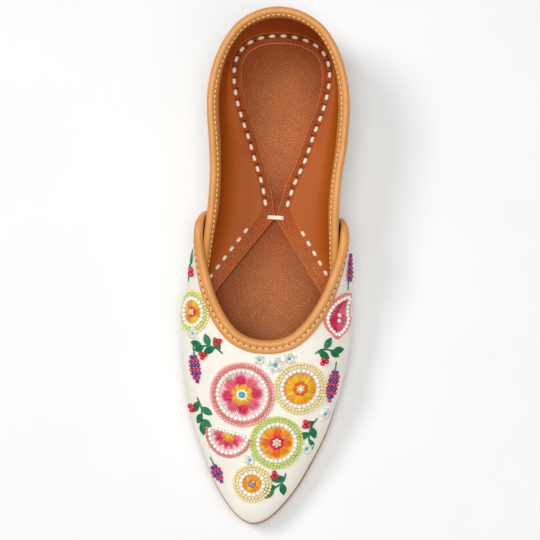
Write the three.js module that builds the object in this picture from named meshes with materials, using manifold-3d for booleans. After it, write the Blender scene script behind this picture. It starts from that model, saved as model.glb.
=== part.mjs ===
// A mojari: a slip-on shoe of leather with a pointed vamp, a bound throat, a bound collar and a
// flat leather sole with a low heel. Millimetres, +Z up. The toe points along -Y, the heel along +Y,
// and the origin is on the floor under the middle of the shoe.
import * as THREE from 'three';
import { mergeVertices } from 'three/addons/utils/BufferGeometryUtils.js';
import Module from 'manifold-3d';

const wasm = await Module();
wasm.setup();

// Driving sizes
const SOLE_LENGTH = 247; // toe tip to heel back
const BALL_WIDTH = 77.6; // widest part of the sole
const SOLE_THICKNESS = 3.6;
const HEEL_HEIGHT = 6; // the low heel under the sole
const TOE_SPRING = 5; // how far the toe tip is lifted off the floor
const SOLE_BEVEL = 0.7; // the worn-off lower edge of the sole
const HEEL_TAPER = 0.8; // how much narrower the heel is at the floor
const SWING = 1.4; // how far the waist is bent sideways, towards +X
const WALL = 1.8; // upper leather and lining together
const WELT_SHOW = 1.0; // the sole's edge that stands out past the upper
const THROAT_HEIGHT = 32.6; // front of the throat above the sole's top
const WING_HEIGHT = 37.4; // highest point of the vamp's wing above the sole's top
const COLLAR_HEIGHT = 45.2; // back of the collar above the sole's top
const LAP_BITE = 0.2; // how far the quarter is sunk into the vamp's wing where they are sewn
const SEAT_GAP = 0.3; // clearance between pieces that lie on each other
const BINDING_THICKNESS = 1.0;
const COLLAR_FLAP_INSIDE = 6.2;
const COLLAR_FLAP_OUTSIDE = 4.0;
const THROAT_FLAP_INSIDE = 3.2;
const THROAT_FLAP_OUTSIDE = 5.0;
const INSOLE_THICKNESS = 2.4;
const INSOLE_FIT = 0.6; // room between the insole and the walls round it
const BAND_THICKNESS = 1.2; // the stitched band on the insole
const BAND_TIE_GAP = 0.5; // how far apart the band's two sides are where one stitch ties them

// What follows from them
const TOE_Y = -(SOLE_LENGTH / 2 + 1);
const HALF_BALL = BALL_WIDTH / 2;
const FEATHER_INSET = WELT_SHOW + WALL;
const LAP_INSET = WALL - LAP_BITE;
const FLAP_REACH = SEAT_GAP + BINDING_THICKNESS;

const yAt = (along) => TOE_Y + along * SOLE_LENGTH;
const alongAt = (y) => (y - TOE_Y) / SOLE_LENGTH;
const clamp01 = (t) => Math.min(1, Math.max(0, t));
const smooth = (t) => clamp01(t) ** 2 * (3 - 2 * clamp01(t));

// Sole outline, one side: share of the length from the toe, share of the half ball width
const OUTLINE_ROWS = [
  { along: 0, half: 0 },
  { along: 0.005, half: 0.119 },
  { along: 0.018, half: 0.237 },
  { along: 0.0425, half: 0.376 },
  { along: 0.079, half: 0.531 },
  { along: 0.121, half: 0.663 },
  { along: 0.184, half: 0.832 },
  { along: 0.249, half: 0.938 },
  { along: 0.31, half: 0.99 },
  { along: 0.35, half: 1 },
  { along: 0.391, half: 0.987 },
  { along: 0.439, half: 0.943 },
  { along: 0.488, half: 0.876 },
  { along: 0.536, half: 0.804 },
  { along: 0.585, half: 0.74 },
  { along: 0.634, half: 0.701 },
  { along: 0.682, half: 0.688 },
  { along: 0.731, half: 0.698 },
  { along: 0.779, half: 0.722 },
  { along: 0.828, half: 0.747 },
  { along: 0.868, half: 0.758 },
  { along: 0.909, half: 0.737 },
  { along: 0.941, half: 0.678 },
  { along: 0.966, half: 0.588 },
  { along: 0.984, half: 0.448 },
  { along: 0.996, half: 0.232 },
  { along: 1, half: 0 },
];

// Where the sole's underside leaves the floor, as shares of the length
const PROFILE = { toeFlat: 0.2, archStart: 0.47, archEnd: 0.74, heelBreast: 0.765 };

// Where the vamp's wing covers the quarter, as shares of the length
const LAP = { full: 0.6, gone: 0.69 };

// The throat's edge, one side, from its front to the foot of the wing:
// share of the length, share of the half ball width, share of the wing's height above the sole
const THROAT_ROWS = [
  { along: 0.3502, half: 0, height: THROAT_HEIGHT / WING_HEIGHT },
  { along: 0.3536, half: 0.18, height: (THROAT_HEIGHT + 0.1) / WING_HEIGHT },
  { along: 0.366, half: 0.35, height: (THROAT_HEIGHT + 0.4) / WING_HEIGHT },
  { along: 0.391, half: 0.502, height: 0.895 },
  { along: 0.433, half: 0.66, height: 0.93 },
  { along: 0.4695, half: 0.752, height: 0.955 },
  { along: 0.514, half: 0.835, height: 0.982 },
  { along: 0.5465, half: 0.875, height: 1 },
  { along: 0.571, half: 0.878, height: 0.975 },
  { along: 0.587, half: 0.848, height: 0.885 },
  { along: 0.597, half: 0.812, height: 0.73 },
  { along: 0.601, half: 0.8, height: 0.52 },
  { along: 0.603, half: 0.772, height: 0.26 },
  { along: 0.603, half: 0.725, height: 0.1 },
];

// The collar's edge, one side, from the heel's back to its front end under the vamp:
// share of the length, share of the half ball width, share of the collar's height above the sole
const COLLAR_ROWS = [
  { along: 0.989, half: 0, height: 1 },
  { along: 0.9815, half: 0.243, height: 0.996 },
  { along: 0.9605, half: 0.464, height: 0.985 },
  { along: 0.9305, half: 0.61, height: 0.97 },
  { along: 0.9, half: 0.702, height: 0.955 },
  { along: 0.87, half: 0.761, height: 0.94 },
  { along: 0.839, half: 0.795, height: 0.925 },
  { along: 0.8077, half: 0.807, height: 0.91 },
  { along: 0.744, half: 0.78, height: 0.885 },
  { along: 0.68, half: 0.737, height: 0.872 },
  { along: 0.619, half: 0.731, height: 0.862 },
  { along: 0.557, half: 0.752, height: 0.815 },
  { along: 0.512, half: 0.775, height: 0.725 },
  { along: 0.464, half: 0.815, height: 0.6 },
];

// Ribs of the vamp from the toe (at 0) round to the wing's foot (at 1). A rib runs from the sole's
// edge, over its widest point, to the throat's edge.
// sole, edge: where it starts and ends, as shares of the two curves; bulge: how far the widest point
// stands out past the start, as a share of the half ball width; waist: that point's height, as a
// share of the rib's; rise, run, lift: how full the rib is above it; lean: 0 where the rib is upright
// at its widest point, 1 where it is straight there
const VAMP_RIBS = [
  { at: 0, sole: 0, edge: 0, bulge: 0.01, waist: 0.15, rise: 0.7, run: 1.02, lift: 0.98, lean: 0 },
  { at: 0.14, sole: 0.05, edge: 0.016, bulge: 0.01, waist: 0.17, rise: 0.75, run: 1, lift: 0.9, lean: 0 },
  { at: 0.26, sole: 0.13, edge: 0.042, bulge: 0.012, waist: 0.24, rise: 1, run: 1, lift: 0.7, lean: 0 },
  { at: 0.37, sole: 0.235, edge: 0.083, bulge: 0.02, waist: 0.33, rise: 1.3, run: 1.1, lift: 0.5, lean: 0 },
  { at: 0.47, sole: 0.33, edge: 0.145, bulge: 0.07, waist: 0.41, rise: 1.5, run: 1.1, lift: 0.4, lean: 0 },
  { at: 0.57, sole: 0.41, edge: 0.25, bulge: 0.126, waist: 0.45, rise: 1.5, run: 1.2, lift: 0.5, lean: 0 },
  { at: 0.68, sole: 0.473, edge: 0.42, bulge: 0.168, waist: 0.47, rise: 1.3, run: 1.3, lift: 0.7, lean: 0 },
  {
    at: 0.77, sole: 0.514, edge: 0.585, bulge: 0.19, waist: 0.53, rise: 1.1, run: 1.3, lift: 0.9, lean: 0.3,
  },
  { at: 0.85, sole: 0.536, edge: 0.71, bulge: 0.17, waist: 0.54, rise: 1, run: 1, lift: 1, lean: 0.8 },
  { at: 0.93, sole: 0.556, edge: 0.87, bulge: 0.1, waist: 0.52, rise: 1, run: 1, lift: 1, lean: 1 },
  { at: 1, sole: 0.57, edge: 1, bulge: 0.035, waist: 0.5, rise: 1, run: 1, lift: 1, lean: 1 },
];

// Ribs of the quarter from the heel's back (at 0) to its front end inside the vamp (at 1), with the
// share of the sole's edge counted from the heel's back
const QUARTER_RIBS = [
  { at: 0, sole: 0, edge: 0, bulge: 0.05, waist: 0.4, rise: 1.1, run: 1.2, lift: 0.95, lean: 0 },
  { at: 0.15, sole: 0.09, edge: 0.13, bulge: 0.05, waist: 0.42, rise: 1.1, run: 1.4, lift: 0.95, lean: 0 },
  { at: 0.3, sole: 0.153, edge: 0.249, bulge: 0.065, waist: 0.48, rise: 1, run: 2, lift: 0.95, lean: 0 },
  { at: 0.45, sole: 0.237, edge: 0.405, bulge: 0.1, waist: 0.52, rise: 1, run: 2.2, lift: 0.95, lean: 0 },
  { at: 0.6, sole: 0.323, edge: 0.568, bulge: 0.11, waist: 0.52, rise: 1, run: 2.2, lift: 0.95, lean: 0 },
  { at: 0.75, sole: 0.405, edge: 0.723, bulge: 0.11, waist: 0.52, rise: 1, run: 1.8, lift: 0.95, lean: 0 },
  { at: 0.88, sole: 0.48, edge: 0.87, bulge: 0.12, waist: 0.55, rise: 1.1, run: 1.4, lift: 0.95, lean: 0 },
  { at: 1, sole: 0.542, edge: 1, bulge: 0.125, waist: 0.6, rise: 1.1, run: 1.2, lift: 0.95, lean: 0 },
];

// How strongly every rib flares out at its foot and rises to its widest point
const RIB_SHAPE = { footFlare: 1.3, footRise: 1, waistRise: 1.2 };

// Sideways bend of the straight last: share of the length, share of the swing
const SWING_ROWS = [
  { at: 0, shift: -0.55 },
  { at: 0.12, shift: -0.25 },
  { at: 0.27, shift: 0.02 },
  { at: 0.435, shift: 0.3 },
  { at: 0.535, shift: 0.5 },
  { at: 0.63, shift: 0.8 },
  { at: 0.727, shift: 1 },
  { at: 0.8, shift: 0.45 },
  { at: 0.87, shift: 0.05 },
  { at: 1, shift: -0.45 },
];

// Window in the band on the insole, one side: a wedge over the forefoot and a drop over the heel
const WINDOW_ROWS = [
  { along: -0.02, half: 2.1 },
  { along: 0.468, half: 0.64 },
  { along: 0.609, half: 0 },
  { along: 0.615, half: 0 },
  { along: 0.68, half: 0.104 },
  { along: 0.734, half: 0.232 },
  { along: 0.782, half: 0.327 },
  { along: 0.8217, half: 0.417 },
  { along: 0.855, half: 0.477 },
  { along: 0.89, half: 0.513 },
  { along: 0.922, half: 0.503 },
  { along: 0.9457, half: 0.42 },
  { along: 0.959, half: 0.278 },
  { along: 0.9645, half: 0.13 },
  { along: 0.966, half: 0 },
];

// Value of a table's column at a place between its rows, as a smooth curve through them. The table
// goes on past its first row as in a mirror: a column that changes sign there is odd.
function column(rows, key, at, odd = false) {
  const t = Math.abs(at);
  const mirrored = { at: -rows[1].at, value: odd ? -rows[1][key] : rows[1][key] };
  const knots = [mirrored, ...rows.map((row) => ({ at: row.at, value: row[key] }))];
  let i = 1;
  while (i < knots.length - 2 && t > knots[i + 1].at) i++;
  const slope = (a, b) => (b.value - a.value) / (b.at - a.at);
  const tangent = (k) => {
    if (k === knots.length - 1) return slope(knots[k - 1], knots[k]);
    const before = slope(knots[k - 1], knots[k]);
    const after = slope(knots[k], knots[k + 1]);
    return before * after <= 0 ? 0 : (2 * before * after) / (before + after);
  };
  const span = knots[i + 1].at - knots[i].at;
  const u = (t - knots[i].at) / span;
  return (
    knots[i].value * (1 + 2 * u) * (1 - u) ** 2 +
    tangent(i) * span * u * (1 - u) ** 2 +
    knots[i + 1].value * u * u * (3 - 2 * u) +
    tangent(i + 1) * span * u * u * (u - 1)
  );
}

// Height of the sole's underside, without the heel, and of its top
function soleUnder(y) {
  const along = alongAt(y);
  const arch = smooth((along - PROFILE.archStart) / (PROFILE.archEnd - PROFILE.archStart));
  const spring = clamp01((PROFILE.toeFlat - along) / PROFILE.toeFlat) ** 2;
  return HEEL_HEIGHT * arch + TOE_SPRING * spring;
}
const soleTop = (y) => soleUnder(y) + SOLE_THICKNESS;

// The straight last is bent sideways a little, most at the waist
function bend(point) {
  const shift = SWING * column(SWING_ROWS, 'shift', clamp01(alongAt(point.y)));
  return new THREE.Vector3(point.x + shift, point.y, point.z);
}

// The sole's outline from the toe tip (0) to the heel's back (1) along the +X side
const outlinePoint = (row, side) => new THREE.Vector3(side * row.half * HALF_BALL, yAt(row.along), 0);
const outline = new THREE.CatmullRomCurve3(
  [
    ...OUTLINE_ROWS.map((row) => outlinePoint(row, 1)),
    ...OUTLINE_ROWS.slice(1, -1).reverse().map((row) => outlinePoint(row, -1)),
  ],
  true,
  'centripetal',
);
outline.arcLengthDivisions = 1600;

function outlineAt(share) {
  const point = outline.getPointAt(share / 2);
  const tangent = outline.getTangentAt(share / 2);
  return { point, outward: new THREE.Vector3(tangent.y, -tangent.x, 0) };
}

// An edge curve over one side and its mirror image, from rows of along, half and height
function edgeCurve(rows, height) {
  const place = (row, side) =>
    new THREE.Vector3(
      side * row.half * HALF_BALL,
      yAt(row.along),
      soleTop(yAt(row.along)) + row.height * height,
    );
  const curve = new THREE.CatmullRomCurve3(
    [
      ...rows.slice(1).reverse().map((row) => place(row, -1)),
      ...rows.map((row) => place(row, 1)),
    ],
    false,
    'centripetal',
  );
  curve.arcLengthDivisions = 1600;
  return (share) => curve.getPointAt(0.5 + share / 2);
}
const throatEdge = edgeCurve(THROAT_ROWS, WING_HEIGHT);
const collarEdge = edgeCurve(COLLAR_ROWS, COLLAR_HEIGHT);

// A cubic between two points with given tangents
function hermite(a, tangentA, b, tangentB, u) {
  return new THREE.Vector3()
    .addScaledVector(a, (1 + 2 * u) * (1 - u) ** 2)
    .addScaledVector(tangentA, u * (1 - u) ** 2)
    .addScaledVector(b, u * u * (3 - 2 * u))
    .addScaledVector(tangentB, u * u * (u - 1));
}

// One part of the upper, by its inner face. The face takes w from -1 to 1 across the shoe and v from
// 0 at the sole, through 1 at the widest point, to 2 at the top edge. Its turn is 1 where the normal
// that follows from that order points out, and -1 where it points in.
function upperPart({ ribs, edge, turn, soleFrom, insetAt }) {
  const known = new Map();
  const rib = (across) => {
    if (known.has(across)) return known.get(across);
    const { point, outward } = outlineAt(Math.abs(soleFrom - column(ribs, 'sole', across, true)));
    const foot = point.addScaledVector(outward, -insetAt(point.y));
    foot.z = soleTop(foot.y) + SEAT_GAP;
    const top = edge(column(ribs, 'edge', across, true));
    const bulge = column(ribs, 'bulge', across) * HALF_BALL;
    const share = column(ribs, 'waist', across);
    const lean = column(ribs, 'lean', across);
    const waist = share * (top.z - foot.z);
    const widest = foot.clone().addScaledVector(outward, bulge);
    widest.y += lean * share * (top.y - foot.y);
    widest.z += waist;
    const crown = top.z - widest.z;
    const upright = new THREE.Vector3(0, 0, 1);
    upright.lerp(top.clone().sub(foot).normalize(), lean).normalize();
    const end = top.clone().sub(widest).multiplyScalar(column(ribs, 'run', across));
    end.z = column(ribs, 'lift', across) * crown;
    const made = {
      foot,
      start: outward.clone().multiplyScalar(bulge * RIB_SHAPE.footFlare)
        .setZ(waist * RIB_SHAPE.footRise),
      widest,
      middle: upright.clone().multiplyScalar(waist * RIB_SHAPE.waistRise),
      rise: upright.clone().multiplyScalar(column(ribs, 'rise', across) * crown),
      top,
      end,
    };
    known.set(across, made);
    return made;
  };
  const face = (w, v) => {
    const r = rib(Math.abs(w));
    const point =
      v <= 1
        ? hermite(r.foot, r.start, r.widest, r.middle, v)
        : hermite(r.widest, r.rise, r.top, r.end, v - 1);
    if (w < 0) point.x = -point.x;
    return point;
  };
  return { face, turn, shareAt: (w) => Math.sign(w) * column(ribs, 'edge', Math.abs(w), true) };
}

// How far the quarter is drawn in to lie inside the vamp's wings
const lapInset = (y) => LAP_INSET * (1 - smooth((alongAt(y) - LAP.full) / (LAP.gone - LAP.full)));

const vamp = upperPart({
  ribs: VAMP_RIBS,
  edge: throatEdge,
  turn: 1,
  soleFrom: 0,
  insetAt: () => FEATHER_INSET,
});
const quarter = upperPart({
  ribs: QUARTER_RIBS,
  edge: collarEdge,
  turn: -1,
  soleFrom: 1,
  insetAt: (y) => FEATHER_INSET + lapInset(y),
});

// Directions of a part's face at one place: along w, along v and outwards
const STEP = 1e-3;
function frameAt({ face, turn }, w, v) {
  const [w0, w1] = [Math.max(-1, w - STEP), Math.min(1, w + STEP)];
  const [v0, v1] = [Math.max(0, v - STEP), Math.min(2, v + STEP)];
  const across = face(w1, v).sub(face(w0, v)).divideScalar(w1 - w0);
  const up = face(w, v1).sub(face(w, v0)).divideScalar(v1 - v0);
  const normal = across.clone().cross(up).normalize().multiplyScalar(turn);
  return { point: face(w, v), across, up, normal };
}

// The way down from the top edge, square to it
function inwardFrom({ across, up, normal }) {
  const inward = across.clone().cross(normal).normalize();
  return inward.dot(up) > 0 ? inward.negate() : inward;
}

// Frames at given depths below the top edge, square to the edge along the face
const WALK_STEP = 0.5;
function framesBelow(part, w, depths) {
  let here = frameAt(part, w, 2);
  const inward = inwardFrom(here);
  const direction = inward.clone();
  const found = new Map([[0, here]]);
  let v = 2;
  let walked = 0;
  for (const depth of [...depths].sort((a, b) => a - b)) {
    while (walked < depth - 1e-9) {
      const step = Math.min(WALK_STEP, depth - walked);
      direction.addScaledVector(here.normal, -direction.dot(here.normal)).normalize();
      const [aa, ab, bb] = [
        here.across.dot(here.across),
        here.across.dot(here.up),
        here.up.dot(here.up),
      ];
      const [da, db] = [direction.dot(here.across), direction.dot(here.up)];
      const area = aa * bb - ab * ab;
      w = Math.min(1, Math.max(-1, w + (step * (da * bb - db * ab)) / area));
      v = Math.min(2, Math.max(0, v + (step * (db * aa - da * ab)) / area));
      here = frameAt(part, w, v);
      walked += step;
    }
    found.set(depth, here);
  }
  return { inward, at: (depth) => found.get(depth) };
}

// A closed mesh from rings. A ring is a list of pairs, a point of its one side and the point across
// from it on its other side, and the pairs also close the two ends.
function loft(rings) {
  const count = rings[0].length;
  const around = 2 * count;
  const positions = rings.flatMap((pairs) => {
    const ring = [...pairs.map(([a]) => a), ...pairs.map(([, b]) => b).reverse()];
    return ring.flatMap((p) => bend(p).toArray());
  });
  const faces = [];
  for (let i = 0; i + 1 < rings.length; i++) {
    for (let j = 0; j < around; j++) {
      const a = i * around + j;
      const b = i * around + ((j + 1) % around);
      faces.push(a, b, b + around, a, b + around, a + around);
    }
  }
  const last = (rings.length - 1) * around;
  for (let j = 0; j + 1 < count; j++) {
    const [a, b, c, d] = [j, j + 1, around - 2 - j, around - 1 - j];
    faces.push(a, c, b, a, d, c);
    faces.push(last + a, last + b, last + c, last + a, last + c, last + d);
  }
  const geometry = new THREE.BufferGeometry();
  geometry.setAttribute('position', new THREE.Float32BufferAttribute(positions, 3));
  geometry.setIndex(faces);
  return solidFrom(geometry);
}

// The solid of a closed mesh, facing out, without faces that have shrunk to a line
function solidFrom(geometry) {
  geometry.deleteAttribute('normal');
  geometry.deleteAttribute('uv');
  const merged = mergeVertices(geometry, 1e-4);
  const index = Array.from(merged.index.array);
  const faces = [];
  for (let i = 0; i < index.length; i += 3) {
    const [a, b, c] = index.slice(i, i + 3);
    if (a !== b && b !== c && c !== a) faces.push(a, b, c);
  }
  const build = (triangles) =>
    new wasm.Manifold(
      new wasm.Mesh({
        numProp: 3,
        vertProperties: new Float32Array(merged.attributes.position.array),
        triVerts: new Uint32Array(triangles),
      }),
    );
  const solid = build(faces);
  return solid.volume() > 0 ? solid : build(faces.reverse());
}

// The wall of one part of the upper, between two offsets from its inner face and up to a rim past
// its top edge
const WALL_LEVELS = { below: 3, above: 7, quarterAbove: 4, crowding: 1.2 };
function wall(part, ribCount, above, from, to, rim) {
  const levels = [];
  for (let k = 0; k < WALL_LEVELS.below; k++) levels.push(k / WALL_LEVELS.below);
  for (let k = 0; k <= above; k++) levels.push(1 + (k / above) ** WALL_LEVELS.crowding);
  const rings = [];
  for (let i = -ribCount; i <= ribCount; i++) {
    rings.push(
      levels.map((v) => {
        const here = frameAt(part, i / ribCount, v);
        here.normal.setZ(here.normal.z * Math.min(1, v)).normalize();
        return [from, to].map((offset) => {
          const placed = here.point.clone().addScaledVector(here.normal, offset);
          if (v === 0) placed.z = soleTop(placed.y) + SEAT_GAP;
          if (v === 2) placed.addScaledVector(inwardFrom(here), -rim);
          return placed;
        });
      }),
    );
  }
  return loft(rings);
}

// Upper: the vamp and the quarter sewn into one hollow piece, open at collar, throat and sole
const VAMP_RIB_COUNT = 28;
const QUARTER_RIB_COUNT = 22;
const vampWall = (growth) =>
  wall(vamp, VAMP_RIB_COUNT, WALL_LEVELS.above, -growth, WALL + growth, growth);
const quarterWall = (growth) =>
  wall(quarter, QUARTER_RIB_COUNT, WALL_LEVELS.quarterAbove, -growth, WALL + growth, growth);

const largest = (solid) => solid.decompose().sort((a, b) => b.volume() - a.volume())[0];
const makeUpper = () => largest(vampWall(0).add(quarterWall(0)));

// Bindings: leather folded over an edge. Each row is a pair of corners, one on the strip's outer side
// and one inside the wall it is cut to, as depth below the edge and offset from the wall's inner face.
// The inner half is as wide as a given share of itself.
const BINDING_SHAPE = { crown: 0.5, shoulderDrop: 0.7, shoulderIn: 0.75, skived: 0.35, core: 0.1 };
function bindingSection(outside, inside, growth, innerShare = 1) {
  const far = WALL * (0.5 + BINDING_SHAPE.core);
  const near = WALL * (0.5 - BINDING_SHAPE.core);
  const outer = WALL + FLAP_REACH + growth;
  const inner = near - (near + FLAP_REACH + growth) * innerShare;
  const crown = FLAP_REACH + BINDING_SHAPE.crown + growth;
  const shoulder = crown * BINDING_SHAPE.shoulderDrop;
  const flap = SEAT_GAP + (inside - SEAT_GAP) * innerShare;
  return [
    [[outside, outer - BINDING_SHAPE.skived], [outside, far]],
    [[0, outer], [0, far]],
    [[-shoulder, outer - BINDING_SHAPE.shoulderIn], [0, far]],
    [[-crown, WALL / 2], [0, WALL / 2]],
    [[-shoulder, inner + BINDING_SHAPE.shoulderIn * innerShare], [0, near]],
    [[0, inner], [0, near]],
    [[flap, inner + BINDING_SHAPE.skived * innerShare], [flap, near]],
  ];
}

function binding(part, sectionAt, reach, count) {
  const rings = [];
  for (let k = -count; k <= count; k++) {
    const share = (reach * k) / count;
    const section = sectionAt(share);
    const depths = new Set(section.flat().map(([depth]) => Math.max(0, depth)));
    const { inward, at } = framesBelow(part, acrossAt(part, share), depths);
    const place = ([depth, offset]) => {
      const { point, normal } = at(Math.max(0, depth));
      const placed = point.clone().addScaledVector(normal, offset);
      return placed.addScaledVector(inward, Math.min(0, depth));
    };
    rings.push(section.map((pair) => pair.map(place)));
  }
  return loft(rings);
}

// Where across a part its top edge has run a given share of its length
function acrossAt(part, share) {
  let [low, high] = [-1, 1];
  for (let i = 0; i < 40; i++) {
    const middle = (low + high) / 2;
    if (part.shareAt(middle) < share) low = middle;
    else high = middle;
  }
  return (low + high) / 2;
}

const COLLAR_REACH = 0.985;
const THROAT_REACH = 0.97;
const THROAT_INNER = { full: 0.66, gone: 0.76 };
const COLLAR_STEPS = 30;
const THROAT_STEPS = 34;
const collarStrip = (growth) =>
  binding(
    quarter,
    () => bindingSection(COLLAR_FLAP_OUTSIDE + growth, COLLAR_FLAP_INSIDE + growth, growth),
    COLLAR_REACH,
    COLLAR_STEPS,
  );

function makeCollarBinding() {
  return largest(collarStrip(0).subtract(vampWall(SEAT_GAP).add(quarterWall(SEAT_GAP))));
}

// The throat's binding has no inner half where the wing is sewn down on the quarter
function makeThroatBinding() {
  const innerShare = (share) =>
    1 - smooth((Math.abs(share) - THROAT_INNER.full) / (THROAT_INNER.gone - THROAT_INNER.full));
  const sectionAt = (share) =>
    bindingSection(THROAT_FLAP_OUTSIDE, THROAT_FLAP_INSIDE, 0, innerShare(share));
  const whole = binding(vamp, sectionAt, THROAT_REACH, THROAT_STEPS);
  const walls = vampWall(SEAT_GAP).add(quarterWall(SEAT_GAP));
  return largest(whole.subtract(walls).subtract(collarStrip(SEAT_GAP)).subtract(underUpper()));
}

// Slabs: the sole, the insole and the band on it are lofted along the length, between an underside
// and a top that depend on y alone
const SLAB_STEPS = 60;
function edgePoints(insetAt, from = -Infinity) {
  const points = [];
  for (let k = 0; k <= SLAB_STEPS; k++) {
    const { point, outward } = outlineAt(k / SLAB_STEPS);
    point.addScaledVector(outward, -insetAt(point.y));
    if (point.y > from) points.push(point.setX(Math.max(0, point.x)));
  }
  if (from > -Infinity) points.unshift(points[0].clone().setY(from));
  return points;
}

const slab = (points, section) =>
  loft(
    points.map(({ x, y }) =>
      section(x, y).map((pair) => pair.map(([half, z]) => new THREE.Vector3(half, y, z))),
    ),
  );

const plainSlab = (insetAt, low, high) =>
  slab(edgePoints(insetAt), (half, y) => [
    [[half, high(y)], [half, low(y)]],
    [[-half, high(y)], [-half, low(y)]],
  ]);

// All that lies under the upper's foot, and a bit more on each side
const underUpper = () =>
  plainSlab(() => -SOLE_THICKNESS, (y) => soleUnder(y), (y) => soleTop(y) + SEAT_GAP);

function makeOutsole() {
  const body = slab(edgePoints(() => 0), (half, y) => {
    const low = soleUnder(y);
    const high = low + SOLE_THICKNESS;
    const narrow = Math.max(0, half - SOLE_BEVEL);
    return [
      [[half, high], [half, low + SOLE_BEVEL]],
      [[half, high], [narrow, low]],
      [[-half, high], [-narrow, low]],
      [[-half, high], [-half, low + SOLE_BEVEL]],
    ];
  });
  const heel = slab(edgePoints(() => SOLE_BEVEL, yAt(PROFILE.heelBreast)), (half, y) => {
    const high = soleUnder(y) + SOLE_THICKNESS / 2;
    const foot = Math.max(0, half - HEEL_TAPER);
    return [[[half, high], [foot, 0]], [[-half, high], [-foot, 0]]];
  });
  return body.add(heel);
}

// Insole: inside the walls, on the sole
const insoleInset = (y) => FEATHER_INSET + lapInset(y) + INSOLE_FIT;
const insoleLow = (y) => soleTop(y) + SEAT_GAP;
const insoleTop = (y) => insoleLow(y) + INSOLE_THICKNESS;
const bandLow = (y) => insoleTop(y) + SEAT_GAP;
const makeInsole = () => plainSlab(insoleInset, insoleLow, insoleTop);

// Band: a thin layer on the insole with a drop-shaped window over the heel and a wedge left out over
// the forefoot. Its two sides come to points at the waist, where one stitch ties them.
function makeBand() {
  const layer = plainSlab(
    (y) => insoleInset(y) + SEAT_GAP,
    bandLow,
    (y) => bandLow(y) + BAND_THICKNESS,
  );
  const side = (sign) =>
    WINDOW_ROWS.map(({ along, half }) => {
      const x = Math.max(BAND_TIE_GAP / 2, half * HALF_BALL);
      return bend(new THREE.Vector3(sign * x, yAt(along), 0));
    });
  const window = new THREE.Shape([...side(1), ...side(-1).reverse()]);
  const depth = COLLAR_HEIGHT;
  const prism = new THREE.ExtrudeGeometry(window, { depth, bevelEnabled: false });
  return layer.subtract(solidFrom(prism));
}

// Materials, with the colours of the photographed leathers
const leather = (colour, roughness) =>
  new THREE.MeshStandardMaterial({ color: new THREE.Color(colour), roughness, metalness: 0 });
const materials = {
  upper: leather('#f3efe4', 0.55),
  binding: leather('#d08b4f', 0.45),
  insole: leather('#9c4f22', 0.5),
  band: leather('#94481f', 0.5),
  outsole: leather('#b0703f', 0.6),
};

function meshOf(name, solid, material) {
  const { vertProperties, triVerts } = solid.getMesh();
  const geometry = new THREE.BufferGeometry();
  geometry.setAttribute('position', new THREE.Float32BufferAttribute(vertProperties, 3));
  geometry.setIndex(new THREE.BufferAttribute(triVerts, 1));
  geometry.computeVertexNormals();
  const mesh = new THREE.Mesh(geometry, material);
  mesh.name = name;
  return mesh;
}

const shoe = new THREE.Group();
shoe.add(
  meshOf('outsole', makeOutsole(), materials.outsole),
  meshOf('insole', makeInsole(), materials.insole),
  meshOf('insole_band', makeBand(), materials.band),
  meshOf('upper', makeUpper(), materials.upper),
  meshOf('collar_binding', makeCollarBinding(), materials.binding),
  meshOf('throat_binding', makeThroatBinding(), materials.binding),
);

// The origin lies under the middle of the whole shoe
const middle = new THREE.Box3().setFromObject(shoe).getCenter(new THREE.Vector3());
shoe.children.forEach((mesh) => mesh.geometry.translate(-middle.x, -middle.y, 0));

export default shoe;
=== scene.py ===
import math

import bpy
import numpy as np
from mathutils import Matrix, Vector
from mathutils.bvhtree import BVHTree


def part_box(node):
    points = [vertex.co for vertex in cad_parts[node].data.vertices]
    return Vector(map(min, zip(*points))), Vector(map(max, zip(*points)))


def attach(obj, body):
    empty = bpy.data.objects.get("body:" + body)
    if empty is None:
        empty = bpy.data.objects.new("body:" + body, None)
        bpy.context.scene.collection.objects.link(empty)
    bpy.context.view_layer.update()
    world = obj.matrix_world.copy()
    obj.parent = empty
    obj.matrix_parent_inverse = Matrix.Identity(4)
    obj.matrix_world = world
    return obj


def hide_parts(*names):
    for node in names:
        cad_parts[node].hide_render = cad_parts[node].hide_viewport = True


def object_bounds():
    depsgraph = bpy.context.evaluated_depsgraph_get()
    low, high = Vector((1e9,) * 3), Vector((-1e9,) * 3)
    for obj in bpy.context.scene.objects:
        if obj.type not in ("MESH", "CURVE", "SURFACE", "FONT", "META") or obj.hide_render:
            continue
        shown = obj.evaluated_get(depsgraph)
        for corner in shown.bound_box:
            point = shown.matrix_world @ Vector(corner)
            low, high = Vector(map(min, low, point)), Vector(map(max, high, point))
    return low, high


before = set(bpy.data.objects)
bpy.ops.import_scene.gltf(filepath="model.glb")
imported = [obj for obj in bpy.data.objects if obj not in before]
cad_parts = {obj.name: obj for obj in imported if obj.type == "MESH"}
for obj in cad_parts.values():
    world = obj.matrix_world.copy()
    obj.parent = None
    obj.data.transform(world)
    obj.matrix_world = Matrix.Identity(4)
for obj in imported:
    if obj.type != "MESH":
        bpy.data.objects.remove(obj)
cad_low, cad_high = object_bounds()

# Sizes and tables, as in the part's source
SOLE_LENGTH = 247.0
HALF_BALL = 38.8
SOLE_THICKNESS = 3.6
HEEL_HEIGHT = 6.0
TOE_SPRING = 5.0
SOLE_BEVEL = 0.7
HEEL_TAPER = 0.8
SWING = 1.4
WALL = 1.8
THROAT_HEIGHT = 32.6
WING_HEIGHT = 37.4
COLLAR_HEIGHT = 45.2
SEAT_GAP = 0.3
INSOLE_THICKNESS = 2.4
INSOLE_FIT = 0.6
BAND_THICKNESS = 1.2
BAND_TIE_GAP = 0.5
TOE_Y = -(SOLE_LENGTH / 2 + 1)
FEATHER_INSET = 2.8
LAP_INSET = 1.6
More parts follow.
